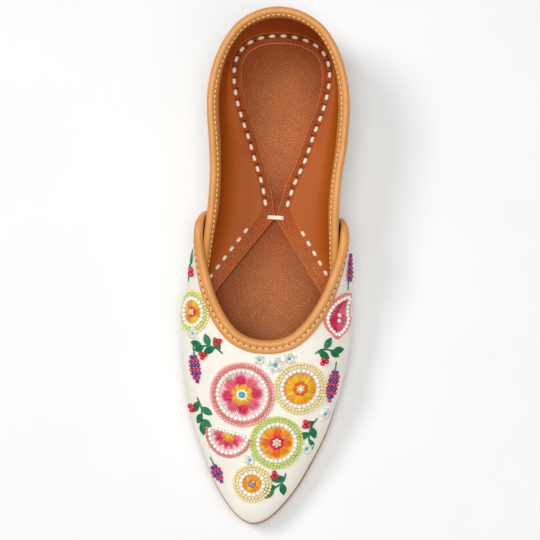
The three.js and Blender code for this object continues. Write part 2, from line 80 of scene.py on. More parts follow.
# Places along the sole, as shares of its length from the toe
ARCH_START, ARCH_RUN = 0.47, 0.27
TOE_FLAT = 0.2
LAP_START, LAP_RUN = 0.6, 0.09
HEEL_BREAST = 0.765
WAIST = 0.612
WEDGE_START = 0.4

# Rows of place along the sole and half width as a share of the ball's, and for an edge its height
OUTLINE_ROWS = [
    (0, 0), (0.005, 0.119), (0.018, 0.237), (0.0425, 0.376), (0.079, 0.531), (0.121, 0.663),
    (0.184, 0.832), (0.249, 0.938), (0.31, 0.99), (0.35, 1), (0.391, 0.987), (0.439, 0.943),
    (0.488, 0.876), (0.536, 0.804), (0.585, 0.74), (0.634, 0.701), (0.682, 0.688), (0.731, 0.698),
    (0.779, 0.722), (0.828, 0.747), (0.868, 0.758), (0.909, 0.737), (0.941, 0.678), (0.966, 0.588),
    (0.984, 0.448), (0.996, 0.232), (1, 0),
]
THROAT_ROWS = [
    (0.3502, 0, THROAT_HEIGHT / WING_HEIGHT),
    (0.3536, 0.18, (THROAT_HEIGHT + 0.1) / WING_HEIGHT),
    (0.366, 0.35, (THROAT_HEIGHT + 0.4) / WING_HEIGHT),
    (0.391, 0.502, 0.895), (0.433, 0.66, 0.93), (0.4695, 0.752, 0.955), (0.514, 0.835, 0.982),
    (0.5465, 0.875, 1), (0.571, 0.878, 0.975), (0.587, 0.848, 0.885), (0.597, 0.812, 0.73),
    (0.601, 0.8, 0.52), (0.603, 0.772, 0.26), (0.603, 0.725, 0.1),
]
COLLAR_ROWS = [
    (0.989, 0, 1), (0.9815, 0.243, 0.996), (0.9605, 0.464, 0.985), (0.9305, 0.61, 0.97),
    (0.9, 0.702, 0.955), (0.87, 0.761, 0.94), (0.839, 0.795, 0.925), (0.8077, 0.807, 0.91),
    (0.744, 0.78, 0.885), (0.68, 0.737, 0.872), (0.619, 0.731, 0.862), (0.557, 0.752, 0.815),
    (0.512, 0.775, 0.725), (0.464, 0.815, 0.6),
]
# The ribs of the upper's two parts: where a rib is across the part, where it starts on the sole and
# ends on the edge, and how it bulges between them
RIB_KEYS = ("at", "sole", "edge", "bulge", "waist", "rise", "run", "lift", "lean")
VAMP_RIBS = [
    (0, 0, 0, 0.01, 0.15, 0.7, 1.02, 0.98, 0), (0.14, 0.05, 0.016, 0.01, 0.17, 0.75, 1, 0.9, 0),
    (0.26, 0.13, 0.042, 0.012, 0.24, 1, 1, 0.7, 0), (0.37, 0.235, 0.083, 0.02, 0.33, 1.3, 1.1, 0.5, 0),
    (0.47, 0.33, 0.145, 0.07, 0.41, 1.5, 1.1, 0.4, 0), (0.57, 0.41, 0.25, 0.126, 0.45, 1.5, 1.2, 0.5, 0),
    (0.68, 0.473, 0.42, 0.168, 0.47, 1.3, 1.3, 0.7, 0), (0.77, 0.514, 0.585, 0.19, 0.53, 1.1, 1.3, 0.9, 0.3),
    (0.85, 0.536, 0.71, 0.17, 0.54, 1, 1, 1, 0.8), (0.93, 0.556, 0.87, 0.1, 0.52, 1, 1, 1, 1),
    (1, 0.57, 1, 0.035, 0.5, 1, 1, 1, 1),
]
QUARTER_RIBS = [
    (0, 0, 0, 0.05, 0.4, 1.1, 1.2, 0.95, 0), (0.15, 0.09, 0.13, 0.05, 0.42, 1.1, 1.4, 0.95, 0),
    (0.3, 0.153, 0.249, 0.065, 0.48, 1, 2, 0.95, 0), (0.45, 0.237, 0.405, 0.1, 0.52, 1, 2.2, 0.95, 0),
    (0.6, 0.323, 0.568, 0.11, 0.52, 1, 2.2, 0.95, 0), (0.75, 0.405, 0.723, 0.11, 0.52, 1, 1.8, 0.95, 0),
    (0.88, 0.48, 0.87, 0.12, 0.55, 1.1, 1.4, 0.95, 0), (1, 0.542, 1, 0.125, 0.6, 1.1, 1.2, 0.95, 0),
]
# How far the shoe bends to a side, as a share of SWING
SWING_ROWS = [
    (0, -0.55), (0.12, -0.25), (0.27, 0.02), (0.435, 0.3), (0.535, 0.5), (0.63, 0.8), (0.727, 1),
    (0.8, 0.45), (0.87, 0.05), (1, -0.45),
]
# The window in the band: a wedge over the forefoot and a drop over the heel
WINDOW_ROWS = [
    (-0.02, 2.1), (0.468, 0.64), (0.609, 0), (0.615, 0), (0.68, 0.104), (0.734, 0.232), (0.782, 0.327),
    (0.8217, 0.417), (0.855, 0.477), (0.89, 0.513), (0.922, 0.503), (0.9457, 0.42), (0.959, 0.278),
    (0.9645, 0.13), (0.966, 0),
]


# Shared arithmetic, over arrays
def unit(v):
    return v / np.maximum(np.linalg.norm(v, axis=-1, keepdims=True), 1e-12)


def dot(a, b):
    return (a * b).sum(-1, keepdims=True)


def smooth(t):
    t = np.clip(t, 0, 1)
    return t * t * (3 - 2 * t)


def hermite(a, ta, b, tb, u):
    """From a to b with tangents ta and tb, as u goes from 0 to 1."""
    return (
        a * (1 + 2 * u) * (1 - u) ** 2
        + ta * u * (1 - u) ** 2
        + b * u * u * (3 - 2 * u)
        + tb * u * u * (u - 1)
    )


def evenly(count):
    return np.linspace(0, 1, count)


def run_along(line):
    """How far along a line each of its points is."""
    return np.concatenate([[0], np.cumsum(np.linalg.norm(np.diff(line, axis=0), axis=1))])


def pick(at, run, table):
    """A table's columns at places between its rows, the rows being at run."""
    return np.stack([np.interp(at, run, values) for values in table.T], 1)


def resample(line, count):
    run = run_along(line)
    return pick(np.linspace(0, run[-1], count), run, line)


def both_sides(line):
    """A line on the right side, and on through its mirror image."""
    return np.concatenate([line, (line * [-1, 1])[::-1]])


def y_at(along):
    return TOE_Y + np.asarray(along, float) * SOLE_LENGTH


def along_at(y):
    return (y - TOE_Y) / SOLE_LENGTH


def column(pairs, at, odd=False):
    """A table's column at places between its rows: a smooth curve that goes on past the first row as
    in a mirror."""
    at = np.abs(np.asarray(at, float))
    x = np.array([-pairs[1][0]] + [p[0] for p in pairs], float)
    f = np.array([-pairs[1][1] if odd else pairs[1][1]] + [p[1] for p in pairs], float)
    slope = np.diff(f) / np.diff(x)
    a, b = slope[:-1], slope[1:]
    mean = np.where(a * b <= 0, 0, 2 * a * b / np.where(a + b == 0, 1, a + b))
    tangent = np.concatenate([[slope[0]], mean, [slope[-1]]])
    i = np.clip(np.searchsorted(x, at, side="left") - 1, 1, len(x) - 2)
    span = x[i + 1] - x[i]
    return hermite(f[i], tangent[i] * span, f[i + 1], tangent[i + 1] * span, (at - x[i]) / span)


def sole_under(y):
    along = along_at(y)
    arch = smooth((along - ARCH_START) / ARCH_RUN)
    spring = np.clip((TOE_FLAT - along) / TOE_FLAT, 0, 1) ** 2
    return HEEL_HEIGHT * arch + TOE_SPRING * spring


def sole_top(y):
    return sole_under(y) + SOLE_THICKNESS


def bend(p):
    p = np.array(p, float)
    p[..., 0] += SWING * column(SWING_ROWS, np.clip(along_at(p[..., 1]), 0, 1))
    return p


class Curve:
    """A centripetal Catmull-Rom curve through points, by its length."""

    def __init__(self, points, closed=False):
        p = np.array(points, float)
        around = [p[-1:], p, p[:2]] if closed else [2 * p[:1] - p[1:2], p, 2 * p[-1:] - p[-2:-1]]
        self.points = np.concatenate(around)
        self.spans = len(self.points) - 3
        self.steps = evenly(1601)
        self.lengths = run_along(self.raw(self.steps))
        self.length = self.lengths[-1]

    def raw(self, t):
        x = self.spans * np.asarray(t, float)
        i = np.minimum(np.floor(x).astype(int), self.spans - 1)
        w = (x - i)[..., None]
        p0, p1, p2, p3 = [self.points[i + k] for k in range(4)]

        def gap(a, b):
            return ((a - b) ** 2).sum(-1, keepdims=True) ** 0.25

        d0, d1, d2 = gap(p0, p1), gap(p1, p2), gap(p2, p3)
        d1 = np.where(d1 < 1e-4, 1, d1)
        d0 = np.where(d0 < 1e-4, d1, d0)
        d2 = np.where(d2 < 1e-4, d1, d2)
        t1 = ((p1 - p0) / d0 - (p2 - p0) / (d0 + d1) + (p2 - p1) / d1) * d1
        t2 = ((p2 - p1) / d1 - (p3 - p1) / (d1 + d2) + (p3 - p2) / d2) * d1
        return hermite(p1, t1, p2, t2, w)

    def step_at(self, share):
        return np.interp(np.asarray(share, float) * self.length, self.lengths, self.steps)

    def at(self, share):
        return self.raw(self.step_at(share))

    def tangent(self, share):
        t = self.step_at(share)
        return unit(self.raw(np.minimum(t + 1e-4, 1)) - self.raw(np.maximum(t - 1e-4, 0)))


MIRROR = [-1, 1, 1]
along, wide = np.array(OUTLINE_ROWS).T
right = np.column_stack([wide * HALF_BALL, y_at(along), 0 * wide])
outline = Curve(np.concatenate([right, right[1:-1][::-1] * MIRROR]), closed=True)


def outline_at(share):
    point = outline.at(np.asarray(share) / 2)
    tangent = outline.tangent(np.asarray(share) / 2)
    outward = np.stack([tangent[..., 1], -tangent[..., 0], np.zeros_like(tangent[..., 0])], -1)
    return point, outward


def edge_curve(rows, height):
    """A top edge of the upper, by shares from -1 to 1 of its length from the middle."""
    along, wide, rise = np.array(rows).T
    y = y_at(along)
    right = np.column_stack([wide * HALF_BALL, y, sole_top(y) + rise * height])
    curve = Curve(np.concatenate([right[1:][::-1] * MIRROR, right]))
    return lambda share: curve.at(0.5 + np.asarray(share) / 2)


def lap_inset(y):
    return LAP_INSET * (1 - smooth((along_at(y) - LAP_START) / LAP_RUN))


class Part:
    """One part of the upper by its inner face: w from -1 to 1 across, v from 0 at the sole through 1
    at its widest to 2 at the top edge. turn is the way its normals are turned, and sole_from is 0 for
    a part that starts at the toe and 1 at the heel."""

    def __init__(self, ribs, edge, turn, sole_from, inset_at):
        self.tables = {key: [(r[0], r[k]) for r in ribs] for k, key in enumerate(RIB_KEYS) if k}
        self.edge, self.turn, self.sole_from, self.inset_at = edge, turn, sole_from, inset_at
        fine = evenly(4001)
        self.edge_shares = (fine, column(self.tables["edge"], fine, True))

    def rib(self, a):
        def value(key, odd=False):
            return column(self.tables[key], a, odd)[..., None]

        point, outward = outline_at(np.abs(self.sole_from - value("sole", True)[..., 0]))
        foot = point - outward * np.asarray(self.inset_at(point[..., 1]))[..., None]
        foot[..., 2] = sole_top(foot[..., 1]) + SEAT_GAP
        top = self.edge(np.clip(value("edge", True)[..., 0], -1, 1))
        bulge = value("bulge") * HALF_BALL
        share, lean = value("waist"), value("lean")
        rise = top[..., 2:3] - foot[..., 2:3]
        waist = share * rise
        widest = foot + outward * bulge
        widest[..., 1:2] += lean * share * (top[..., 1:2] - foot[..., 1:2])
        widest[..., 2:3] += waist
        crown = top[..., 2:3] - widest[..., 2:3]
        straight = np.zeros_like(top)
        straight[..., 2] = 1
        upright = unit(straight + (unit(top - foot) - straight) * lean)
        end = (top - widest) * value("run")
        end[..., 2:3] = value("lift") * crown
        start = outward * bulge * 1.3
        start[..., 2:3] = waist
        return foot, start, widest, upright * waist * 1.2, upright * value("rise") * crown, top, end

    def face(self, w, v):
        w, v = np.broadcast_arrays(w, v)
        foot, start, widest, middle, rise, top, end = self.rib(np.abs(w))
        u = v[..., None]
        low = hermite(foot, start, widest, middle, np.clip(u, 0, 1))
        high = hermite(widest, rise, top, end, np.clip(u - 1, 0, 1))
        p = np.where(u <= 1, low, high)
        p[..., 0] *= np.where(w < 0, -1, 1)
        return p

    def frames(self, w, v):
        """Points, the ways across and up, and normals."""
        step = 1e-3
        w, v = np.broadcast_arrays(w, v)
        w0, w1 = np.maximum(-1, w - step), np.minimum(1, w + step)
        v0, v1 = np.maximum(0, v - step), np.minimum(2, v + step)
        across = (self.face(w1, v) - self.face(w0, v)) / (w1 - w0)[..., None]
        up = (self.face(w, v1) - self.face(w, v0)) / (v1 - v0)[..., None]
        normal = unit(np.cross(across, up)) * self.turn
        return self.face(w, v), across, up, normal

    def w_at(self, share):
        """Where across the part its top edge has run a share of its length."""
        fine, shares = self.edge_shares
        return np.sign(share) * np.interp(np.abs(share), shares, fine)

    def below(self, w, reach, step=0.25):
        """Points and normals going down from the top edge, square to it, every step millimetres."""
        point, across, up, normal = self.frames(w, np.full_like(w, 2.0))
        inward = unit(np.cross(across, normal))
        inward = np.where(dot(inward, up) > 0, -inward, inward)
        way = inward.copy()
        v = np.full_like(w, 2.0)
        w = w.copy()
        points, normals = [point], [normal]
        for _ in range(int(math.ceil(reach / step))):
            way = unit(way - normal * dot(way, normal))
            aa, ab, bb = dot(across, across), dot(across, up), dot(up, up)
            da, db = dot(way, across), dot(way, up)
            area = aa * bb - ab * ab
            w = np.clip(w + (step * (da * bb - db * ab) / area)[..., 0], -1, 1)
            v = np.clip(v + (step * (db * aa - da * ab) / area)[..., 0], 0, 2)
            point, across, up, normal = self.frames(w, v)
            points.append(point)
            normals.append(normal)
        return np.array(points), np.array(normals), inward, step


vamp = Part(VAMP_RIBS, edge_curve(THROAT_ROWS, WING_HEIGHT), 1, 0, lambda y: FEATHER_INSET + 0 * y)
quarter = Part(
    QUARTER_RIBS, edge_curve(COLLAR_ROWS, COLLAR_HEIGHT), -1, 1, lambda y: FEATHER_INSET + lap_inset(y)
)

# From the part's own frame to the row frame, by the outsole's box
outsole_low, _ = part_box("outsole")
rim = bend(outline.at(evenly(2001)))
SHIFT = np.array([outsole_low.x * 1000 - rim[:, 0].min(), outsole_low.y * 1000 - rim[:, 1].min(), 0])


def row(p):
    """Millimetres in the part's frame to metres in the row frame."""
    return (bend(p) + SHIFT) / 1000


# Materials
def srgb(r, g, b):
    def one(c):
        c /= 255
        return c / 12.92 if c <= 0.04045 else ((c + 0.055) / 1.055) ** 2.4

    return (one(r), one(g), one(b), 1.0)


def shade(colour, factor):
    return tuple(min(1.0, c * factor) for c in colour[:3]) + (1.0,)


class Finish:
    """A material built from nodes, with its textures in the object's own coordinates."""

    def __init__(self, name, roughness, **constants):
        self.material = bpy.data.materials.new(name)
        self.material.use_nodes = True
        self.tree = self.material.node_tree
        self.shader = self.tree.nodes["Principled BSDF"]
        self.set(self.shader, Roughness=roughness, **constants)
        self.place = self.tree.nodes.new("ShaderNodeTexCoord").outputs["Object"]

    def set(self, node, **values):
        for key, value in values.items():
            node.inputs[key.replace("_", " ")].default_value = value

    def link(self, source, target):
        self.tree.links.new(source, target)

    def node(self, kind, source=None, socket="Vector", **values):
        """A new node with its values set, and a source linked into one of its sockets."""
        made = self.tree.nodes.new("ShaderNode" + kind)
        self.set(made, **values)
        if source is not None:
            self.link(source, made.inputs[socket])
        return made

    def noise(self, size_mm, detail=2):
        return self.node("TexNoise", self.place, Scale=1000 / size_mm, Detail=detail).outputs["Fac"]

    def cells(self, size_mm):
        """The distance to the nearest edge between cells of about this size."""
        made = self.node("TexVoronoi", self.place, Scale=1000 / size_mm)
        made.feature = "DISTANCE_TO_EDGE"
        return made.outputs["Distance"]

    def ramp(self, source, *stops):
        """A source turned into colours, by stops of a position and a colour or a grey."""
        made = self.node("ValToRGB", source, "Fac")
        elements = made.color_ramp.elements
        while len(elements) < len(stops):
            elements.new(0.5)
        for element, (position, colour) in zip(elements, stops):
            element.position = position
            element.color = colour if hasattr(colour, "__len__") else (colour,) * 3 + (1.0,)
        return made.outputs["Color"]

    def mix(self, factor, a, b, blend="MIX"):
        made = self.node("Mix")
        made.data_type = "RGBA"
        made.blend_type = blend
        sockets = [s for s in made.inputs if s.enabled]
        for socket, value in zip(sockets, (factor, a, b)):
            if hasattr(value, "is_linked"):
                self.link(value, socket)
            else:
                socket.default_value = value
        return [s for s in made.outputs if s.enabled][0]

    def attribute(self, name):
        made = self.node("Attribute")
        made.attribute_name = name
        return made.outputs["Fac"]

    def colour(self, source):
        self.link(source, self.shader.inputs["Base Color"])

    def rough(self, source, low, high):
        made = self.node("MapRange", source, "Value", To_Min=low, To_Max=high)
        self.link(made.outputs["Result"], self.shader.inputs["Roughness"])

    def bump(self, *layers):
        """Layers of height, strength and depth in mm, one on top of the other."""
        normal = None
        for height, strength, depth in layers:
            made = self.node("Bump", height, "Height", Strength=strength, Distance=depth / 1000)
            if normal is not None:
                self.link(normal, made.inputs["Normal"])
            normal = made.outputs["Normal"]
        self.link(normal, self.shader.inputs["Normal"])


def leather(name, base, grain_mm, grain, roughness, spread, wrinkle=0.3, specular=0.5, deep=0.12, worn_and_lit=None):
    """Leather with its grain in cells and its colour spread a little. The last argument is a second colour
    for
    where the point attribute is 1: a paler tone of painted light, on the footbed together with rubbing, so
    that the base colour stands for painted shade where the attribute is 0."""
    f = Finish(name, roughness[0], Specular_IOR_Level=specular)
    blotch, fine, cells = f.noise(14, 3), f.noise(grain_mm * 1.6), f.cells(grain_mm)

    def blotched(colour):
        return f.ramp(blotch, (0.3, shade(colour, 1 - spread)), (0.7, shade(colour, 1 + spread)))

    tone = blotched(base)
    if worn_and_lit:
        tone = f.mix(f.attribute("wear_and_painted_shade"), tone, blotched(worn_and_lit))
    if grain > 0.5:
        pits = f.ramp(cells, (0.0, shade(base, 1 - 2.2 * spread)), (0.22, 1.0))
        tone = f.mix(0.55, tone, pits, "MULTIPLY")
    f.colour(tone)
    f.rough(fine, *roughness)
    height = f.ramp(cells, (0.0, 0.0), (0.35, 1.0))
    f.bump((height, grain, deep), (fine, 0.25, 0.1), (f.noise(7, 3), wrinkle, 0.5))
    return f.material


def thread(name, base):
    f = Finish(name, 0.5, Sheen_Weight=0.3, Sheen_Roughness=0.4)
    strands = f.noise(0.45)
    f.colour(f.ramp(strands, (0.3, shade(base, 0.95)), (0.6, shade(base, 1.08))))
    f.bump((strands, 0.5, 0.12))
    return f.material


def glass(name, base):
    f = Finish(name, 0.22, Coat_Weight=0.4, Coat_Roughness=0.08)
    f.colour(f.ramp(f.noise(1.7), (0.3, shade(base, 0.86)), (0.7, shade(base, 1.08))))
    f.bump((f.noise(0.9, 1), 0.2, 0.06))
    return f.material


def floss(name, base):
    """Silk thread in streaks, darker or paler by the attribute tone."""
    f = Finish(name, 0.38, Sheen_Weight=0.25, Sheen_Roughness=0.3, Specular_IOR_Level=0.5)
    strands = f.noise(0.5)
    tones = f.ramp(f.attribute("tone"), (0.0, shade(base, 0.72)), (0.6, base), (1.0, shade(base, 1.12)))
    f.colour(f.mix(1.0, tones, f.ramp(strands, (0.3, 0.78), (0.7, 1.0)), "MULTIPLY"))
    f.bump((strands, 0.45, 0.12))
    return f.material


WHITE = srgb(243, 238, 225)
TAN = srgb(216, 147, 76)
FOOTBED = srgb(160, 76, 14)
# The footbed's paler tone: rubbed by the foot, and painted light against the painted shade near the walls
WORN_AND_LIT = srgb(196, 118, 62)
LINING = srgb(180, 91, 25)
# The band's base colour is darker at the heel as painted shade, and BAND_FRONT is its paler front as painted
# light
BAND = srgb(176, 88, 30)
BAND_FRONT = srgb(202, 116, 58)
# A cut edge's paler leather together with painted highlight where the edge faces the light
CUT_EDGE_AND_HIGHLIGHT = srgb(214, 138, 82)
# Painted shade: the shadow line beside the wedge's left edge, and the shade in the creases between the
# heel's stitches and in the needle holes
PAINTED_SHADE = srgb(112, 48, 10)
SOLE = srgb(176, 118, 68)
CREAM = srgb(255, 244, 226)
YELLOW = srgb(250, 210, 142)

white_leather = leather("upper_white", WHITE, 0.9, 0.3, (0.42, 0.58), 0.025, 0.55)
lining_leather = leather("lining_brown", LINING, 0.8, 0.15, (0.45, 0.58), 0.05, 0.2, 0.18)
tan_leather = leather("binding_tan", TAN, 0.9, 0.25, (0.36, 0.5), 0.07, 0.25)
footbed_leather = leather("footbed_grain", FOOTBED, 1.05, 0.9, (0.36, 0.48), 0.07, 0.3, 0.22, 0.15, WORN_AND_LIT)
band_leather = leather("band_grain", BAND, 1.15, 0.9, (0.42, 0.56), 0.1, 0.3, 0.16, 0.16, BAND_FRONT)
cut_edge_and_highlight_leather = leather("band_cut_edge_and_highlight", CUT_EDGE_AND_HIGHLIGHT, 0.8, 0.3, (0.6, 0.75), 0.06, 0.1, 0.2)
painted_shade_leather = leather("band_painted_shade", PAINTED_SHADE, 0.8, 0.3, (0.6, 0.7), 0.1, 0.1, 0.1)
sole_leather = leather("sole_edge", SOLE, 1.6, 0.3, (0.5, 0.68), 0.14, 0.3)
cream_thread = thread("thread_cream", CREAM)
yellow_thread = thread("thread_yellow", YELLOW)


# Pieces
def link_up(name, data):
    made = bpy.data.objects.new(name, data)
    bpy.context.scene.collection.objects.link(made)
    return made


def add_piece(name, points, faces, materials, slot=None, stands_for=None, picks=None, sharp=None):
    """A piece of points in the row frame. picks is each face's material, and sharp the angle in
    degrees from which an edge is sharp."""
    mesh = bpy.data.meshes.new(name)
    mesh.from_pydata(np.asarray(points, float).tolist(), [], [tuple(f) for f in faces])
    for material in materials:
        mesh.materials.append(material)
    if picks is not None:
        mesh.polygons.foreach_set("material_index", np.asarray(picks, np.int32))
    mesh.polygons.foreach_set("use_smooth", np.ones(len(mesh.polygons), bool))
    mesh.update()
    if sharp is not None:
        mesh.set_sharp_from_angle(angle=math.radians(sharp))
    made = link_up(name, mesh)
    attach(made, "root")
    if stands_for:
        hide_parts(stands_for)
    return made


def give(made, name, values):
    """A value for each point of a piece, for its material to read."""
    layer = made.data.attributes.new(name, "FLOAT", "POINT")
    layer.data.foreach_set("value", np.asarray(values, np.float32))


def weld(points, faces):
    """Points in the same place made one, and the faces that vanish with them left out."""
    _, first, index = np.unique(np.round(points, 4), axis=0, return_index=True, return_inverse=True)
    welded = []
    for face in faces:
        loop = [int(index.reshape(-1)[i]) for i in face]
        loop = [a for a, b in zip(loop, loop[1:] + loop[:1]) if a != b]
        if len(loop) > 2 and len(set(loop)) == len(loop):
            welded.append(loop)
    return points[first], welded


def ring_faces(rings, around, close=True):
    """Quads between rings that are closed loops of the same count."""
    i, j = np.meshgrid(np.arange(rings - 1), np.arange(around if close else around - 1), indexing="ij")
    a = i * around + j
    b = i * around + (j + 1) % around
    return np.stack([a, b, b + around, a + around], -1).reshape(-1, 4)


def flip(faces):
    return np.asarray(faces)[:, ::-1]


def join(parts):
    points, faces, base = [], [], 0
    for p, f in parts:
        points.append(p)
        faces += [tuple(i + base for i in q) for q in f]
        base += len(p)
    return np.concatenate(points), faces


def loft(rings, flipped):
    """A closed mesh through rings that are closed loops, with a face at each end."""
    count, around = rings.shape[:2]
    first, last = list(range(around)), list(range((count - 1) * around, count * around))
    faces = [first[::-1]] + ring_faces(count, around).tolist() + [last]
    return rings.reshape(-1, 3), [f[::-1] for f in faces] if flipped else faces


def wall_faces(count, around):
    """Quads round rings, and at both ends quads between the two halves of the ring."""
    k = np.arange(around // 2 - 1)
    cap = np.stack([k, around - 1 - k, around - 2 - k, k + 1], 1)
    return np.concatenate([ring_faces(count, around), cap, flip(cap) + (count - 1) * around])


# Upper: vamp and quarter, each a wall with its leather outside and its lining inside
def upper_wall(part, count, below, above):
    w = np.linspace(-1, 1, count)
    v = np.concatenate([np.arange(below) / below, 1 + (np.arange(above + 1) / above) ** 1.2])
    grid_w, grid_v = np.meshgrid(w, v, indexing="ij")
    point, _, _, normal = part.frames(grid_w, grid_v)
    flat = normal.copy()
    flat[..., 2] *= np.minimum(1, grid_v)
    flat = unit(flat)
    sides = []
    for offset in (0.0, WALL):
        p = point + flat * offset
        p[:, 0, 2] = sole_top(p[:, 0, 1]) + SEAT_GAP
        sides.append(p)
    inner, outer = sides
    # a closed loop for each rib: up the outer face, then down the inner one
    ring = np.concatenate([outer, inner[:, ::-1]], 1)
    levels = len(v)
    faces = wall_faces(count, 2 * levels)
    picks = np.zeros(len(faces), int)
    lining = np.tile(np.arange(2 * levels) >= levels - 1, count - 1)
    picks[: len(lining)] = lining
    return ring.reshape(-1, 3), flip(faces) if part.turn < 0 else faces, picks


for name, part, count, above in (("vamp", vamp, 201, 44), ("quarter", quarter, 181, 26)):
    points, faces, picks = upper_wall(part, count, 12, above)
    leathers = [white_leather, lining_leather]
    add_piece(name, row(points), faces, leathers, "upper_leather", "upper", picks, 50)


# Bindings: leather folded over an edge, with a groove where the stitches pull it down. Rows of
# depth below the edge and offset from the wall's inner face
COLLAR_SECTION = [
    (3.9, 1.7), (4.05, 2.2), (3.95, 2.62), (3.4, 2.86), (2.9, 2.68), (2.4, 2.92), (1.2, 3.12), (0, 3.16),
    (-0.85, 2.92), (-1.5, 2.3), (-1.82, 1.45), (-1.66, 0.55), (-1.2, -0.12), (-0.62, -0.5), (-0.15, -0.66),
    (0.35, -0.98), (1.1, -1.38), (2.2, -1.72), (3.4, -1.86), (4.6, -1.76), (5.5, -1.36), (6.0, -0.8),
    (6.1, -0.2), (6.05, 0.12),
]
THROAT_SECTION = [
    (4.55, 1.7), (4.75, 2.12), (4.68, 2.5), (4.2, 2.82), (3.4, 2.96), (2.6, 2.93), (1.95, 2.64), (1.3, 2.96),
    (0.6, 3.16), (-0.15, 3.08), (-0.85, 2.76), (-1.5, 1.95), (-1.78, 0.9), (-1.55, -0.15), (-0.95, -0.92),
    (0, -1.3), (1.2, -1.32), (2.3, -1.22), (3.0, -0.85), (3.22, -0.3), (3.15, 0.12),
]


class Binding:
    """A section swept along a part's top edge, up to a reach from its middle. inner_share says how
    much of the fold inside the wall is left at a share of the edge."""

    def __init__(self, part, section, reach, count, around, inner_share=None):
        self.part, self.inner_share = part, inner_share
        self.section = Curve(section).at(evenly(around))
        self.share = np.linspace(-reach, reach, count)
        self.walk = part.below(part.w_at(self.share), 6.6)

    def place(self, share, depth, offset):
        """Points and normals at shares of the edge, and at depths and offsets of the section."""
        share, depth, offset = np.broadcast_arrays(share, depth, offset)
        if self.inner_share is not None:
            kept = self.inner_share(share)
            near = WALL * 0.4
            inner = offset < near
            offset = np.where(inner, near - (near - offset) * kept, offset)
            depth = np.where(inner & (depth > 0), depth * np.maximum(kept, 0.02), depth)
        points, normals, inward, step = self.walk
        i = np.interp(share, self.share, np.arange(len(self.share)))
        i0 = np.minimum(i.astype(int), len(self.share) - 2)
        a = (i - i0)[..., None]
        k = np.maximum(depth, 0) / step
        k0 = np.minimum(k.astype(int), len(points) - 2)
        b = (k - k0)[..., None]

        def mixed(table):
            low = table[k0, i0] * (1 - a) + table[k0, i0 + 1] * a
            high = table[k0 + 1, i0] * (1 - a) + table[k0 + 1, i0 + 1] * a
            return low * (1 - b) + high * b

        way = unit(inward[i0] * (1 - a) + inward[i0 + 1] * a)
        normal = unit(mixed(normals))
        return mixed(points) + normal * offset[..., None] + way * np.minimum(depth, 0)[..., None], normal

    def mesh(self):
        """The section closed over a core inside the leather, all along the edge."""
        depth, offset = np.concatenate([self.section, [(0.3, 0.8), (0.3, 1.0)]]).T
        rings, _ = self.place(self.share[:, None], depth[None], offset[None])
        return loft(rings, self.part.turn > 0)


def throat_inner(share):
    """Less and less of the fold where the edge turns down at the wings."""
    return 1 - smooth((np.abs(share) - 0.66) / 0.1)


collar = Binding(quarter, COLLAR_SECTION, 0.985, 301, 46)
throat = Binding(vamp, THROAT_SECTION, 0.97, 281, 42, throat_inner)
for name, binding in (("collar", collar), ("throat", throat)):
    points, faces = binding.mesh()
    add_piece(name + "_roll", row(points), faces, [tan_leather], "binding_leather", name + "_binding")


# Sole, insole and the band on it
SLAB_ROWS = 261


def inset_edge(inset_at, count, start=None):
    point, outward = outline_at(evenly(count))
    edge = point - outward * np.asarray(inset_at(point[:, 1]))[:, None]
    edge[:, 0] = np.maximum(edge[:, 0], 0)
    if start is not None:
        edge = edge[edge[:, 1] > start]
        edge = np.concatenate([[[edge[0, 0], start, 0]], edge])
    return edge[:, 0], edge[:, 1]


def slab(half, y, section, across=10):
    """A closed mesh lofted along y. section gives the right side's (half, z) from the top's edge to
    the underside's edge; the top and the underside are filled between the two sides."""
    side = section(half, y)
    right = np.stack([np.stack([h, y, z], -1) for h, z in side], 1)
    left = right[:, ::-1] * MIRROR
    shares = evenly(across + 1)[1:-1][None, :, None]
    under = right[:, -1:] * (1 - shares) + left[:, :1] * shares
    top = left[:, -1:] * (1 - shares) + right[:, :1] * shares
    ring = np.concatenate([right, under, left, top], 1)
    return loft(ring, True)


half, y = inset_edge(lambda v: 0 * v, SLAB_ROWS)


def sole_section(half, y):
    """Steps in from the outline and down from the top."""
    steps = [(0.5, 0.0), (0.12, 0.12), (0, 0.5), (0, 1.5), (0.05, 2.4), (0.3, 3.15)]
    steps.append((SOLE_BEVEL, SOLE_THICKNESS))
    return [(np.maximum(half - dx, 0), sole_top(y) - dz) for dx, dz in steps]


sole_points, sole_faces = slab(half, y, sole_section)
breast = float(y_at(HEEL_BREAST))
heel_half, heel_y = inset_edge(lambda v: SOLE_BEVEL + 0 * v, SLAB_ROWS, breast)


def heel_section(half, y):
    """The heel's side, leaning in, with grooves between its three layers."""
    high = sole_under(y) + SOLE_THICKNESS / 2
    foot = np.maximum(half - HEEL_TAPER, 0)
    rows = [(half, high)]
    grooves = (0.34, 0.66)
    for share in (0.3, 0.34, 0.38, 0.62, 0.66, 0.7, 0.94):
        pinch = 0.22 if share in grooves else 0.0
        rows.append((np.maximum(half + (foot - half) * share - pinch, 0), high * (1 - share)))
    rows.append((np.maximum(foot - 0.4, 0), 0 * high))
    return rows


heel_points, heel_faces = slab(heel_half, heel_y, heel_section)
points, faces = join([weld(sole_points, sole_faces), weld(heel_points, heel_faces)])
add_piece("sole", row(points), faces, [sole_leather], "sole_leather", "outsole", None, 50)


def insole_inset(y):
    return FEATHER_INSET + lap_inset(y) + INSOLE_FIT


def insole_top(y):
    return sole_top(y) + SEAT_GAP + INSOLE_THICKNESS


def band_top(y):
    return insole_top(y) + SEAT_GAP + BAND_THICKNESS


def insole_section(half, y):
    steps = [(0.5, 0.0), (0.1, 0.25), (0, 0.7)]
    rows = [(np.maximum(half - dx, 0), insole_top(y) - dz) for dx, dz in steps]
    return rows + [(half, sole_top(y) + SEAT_GAP)]


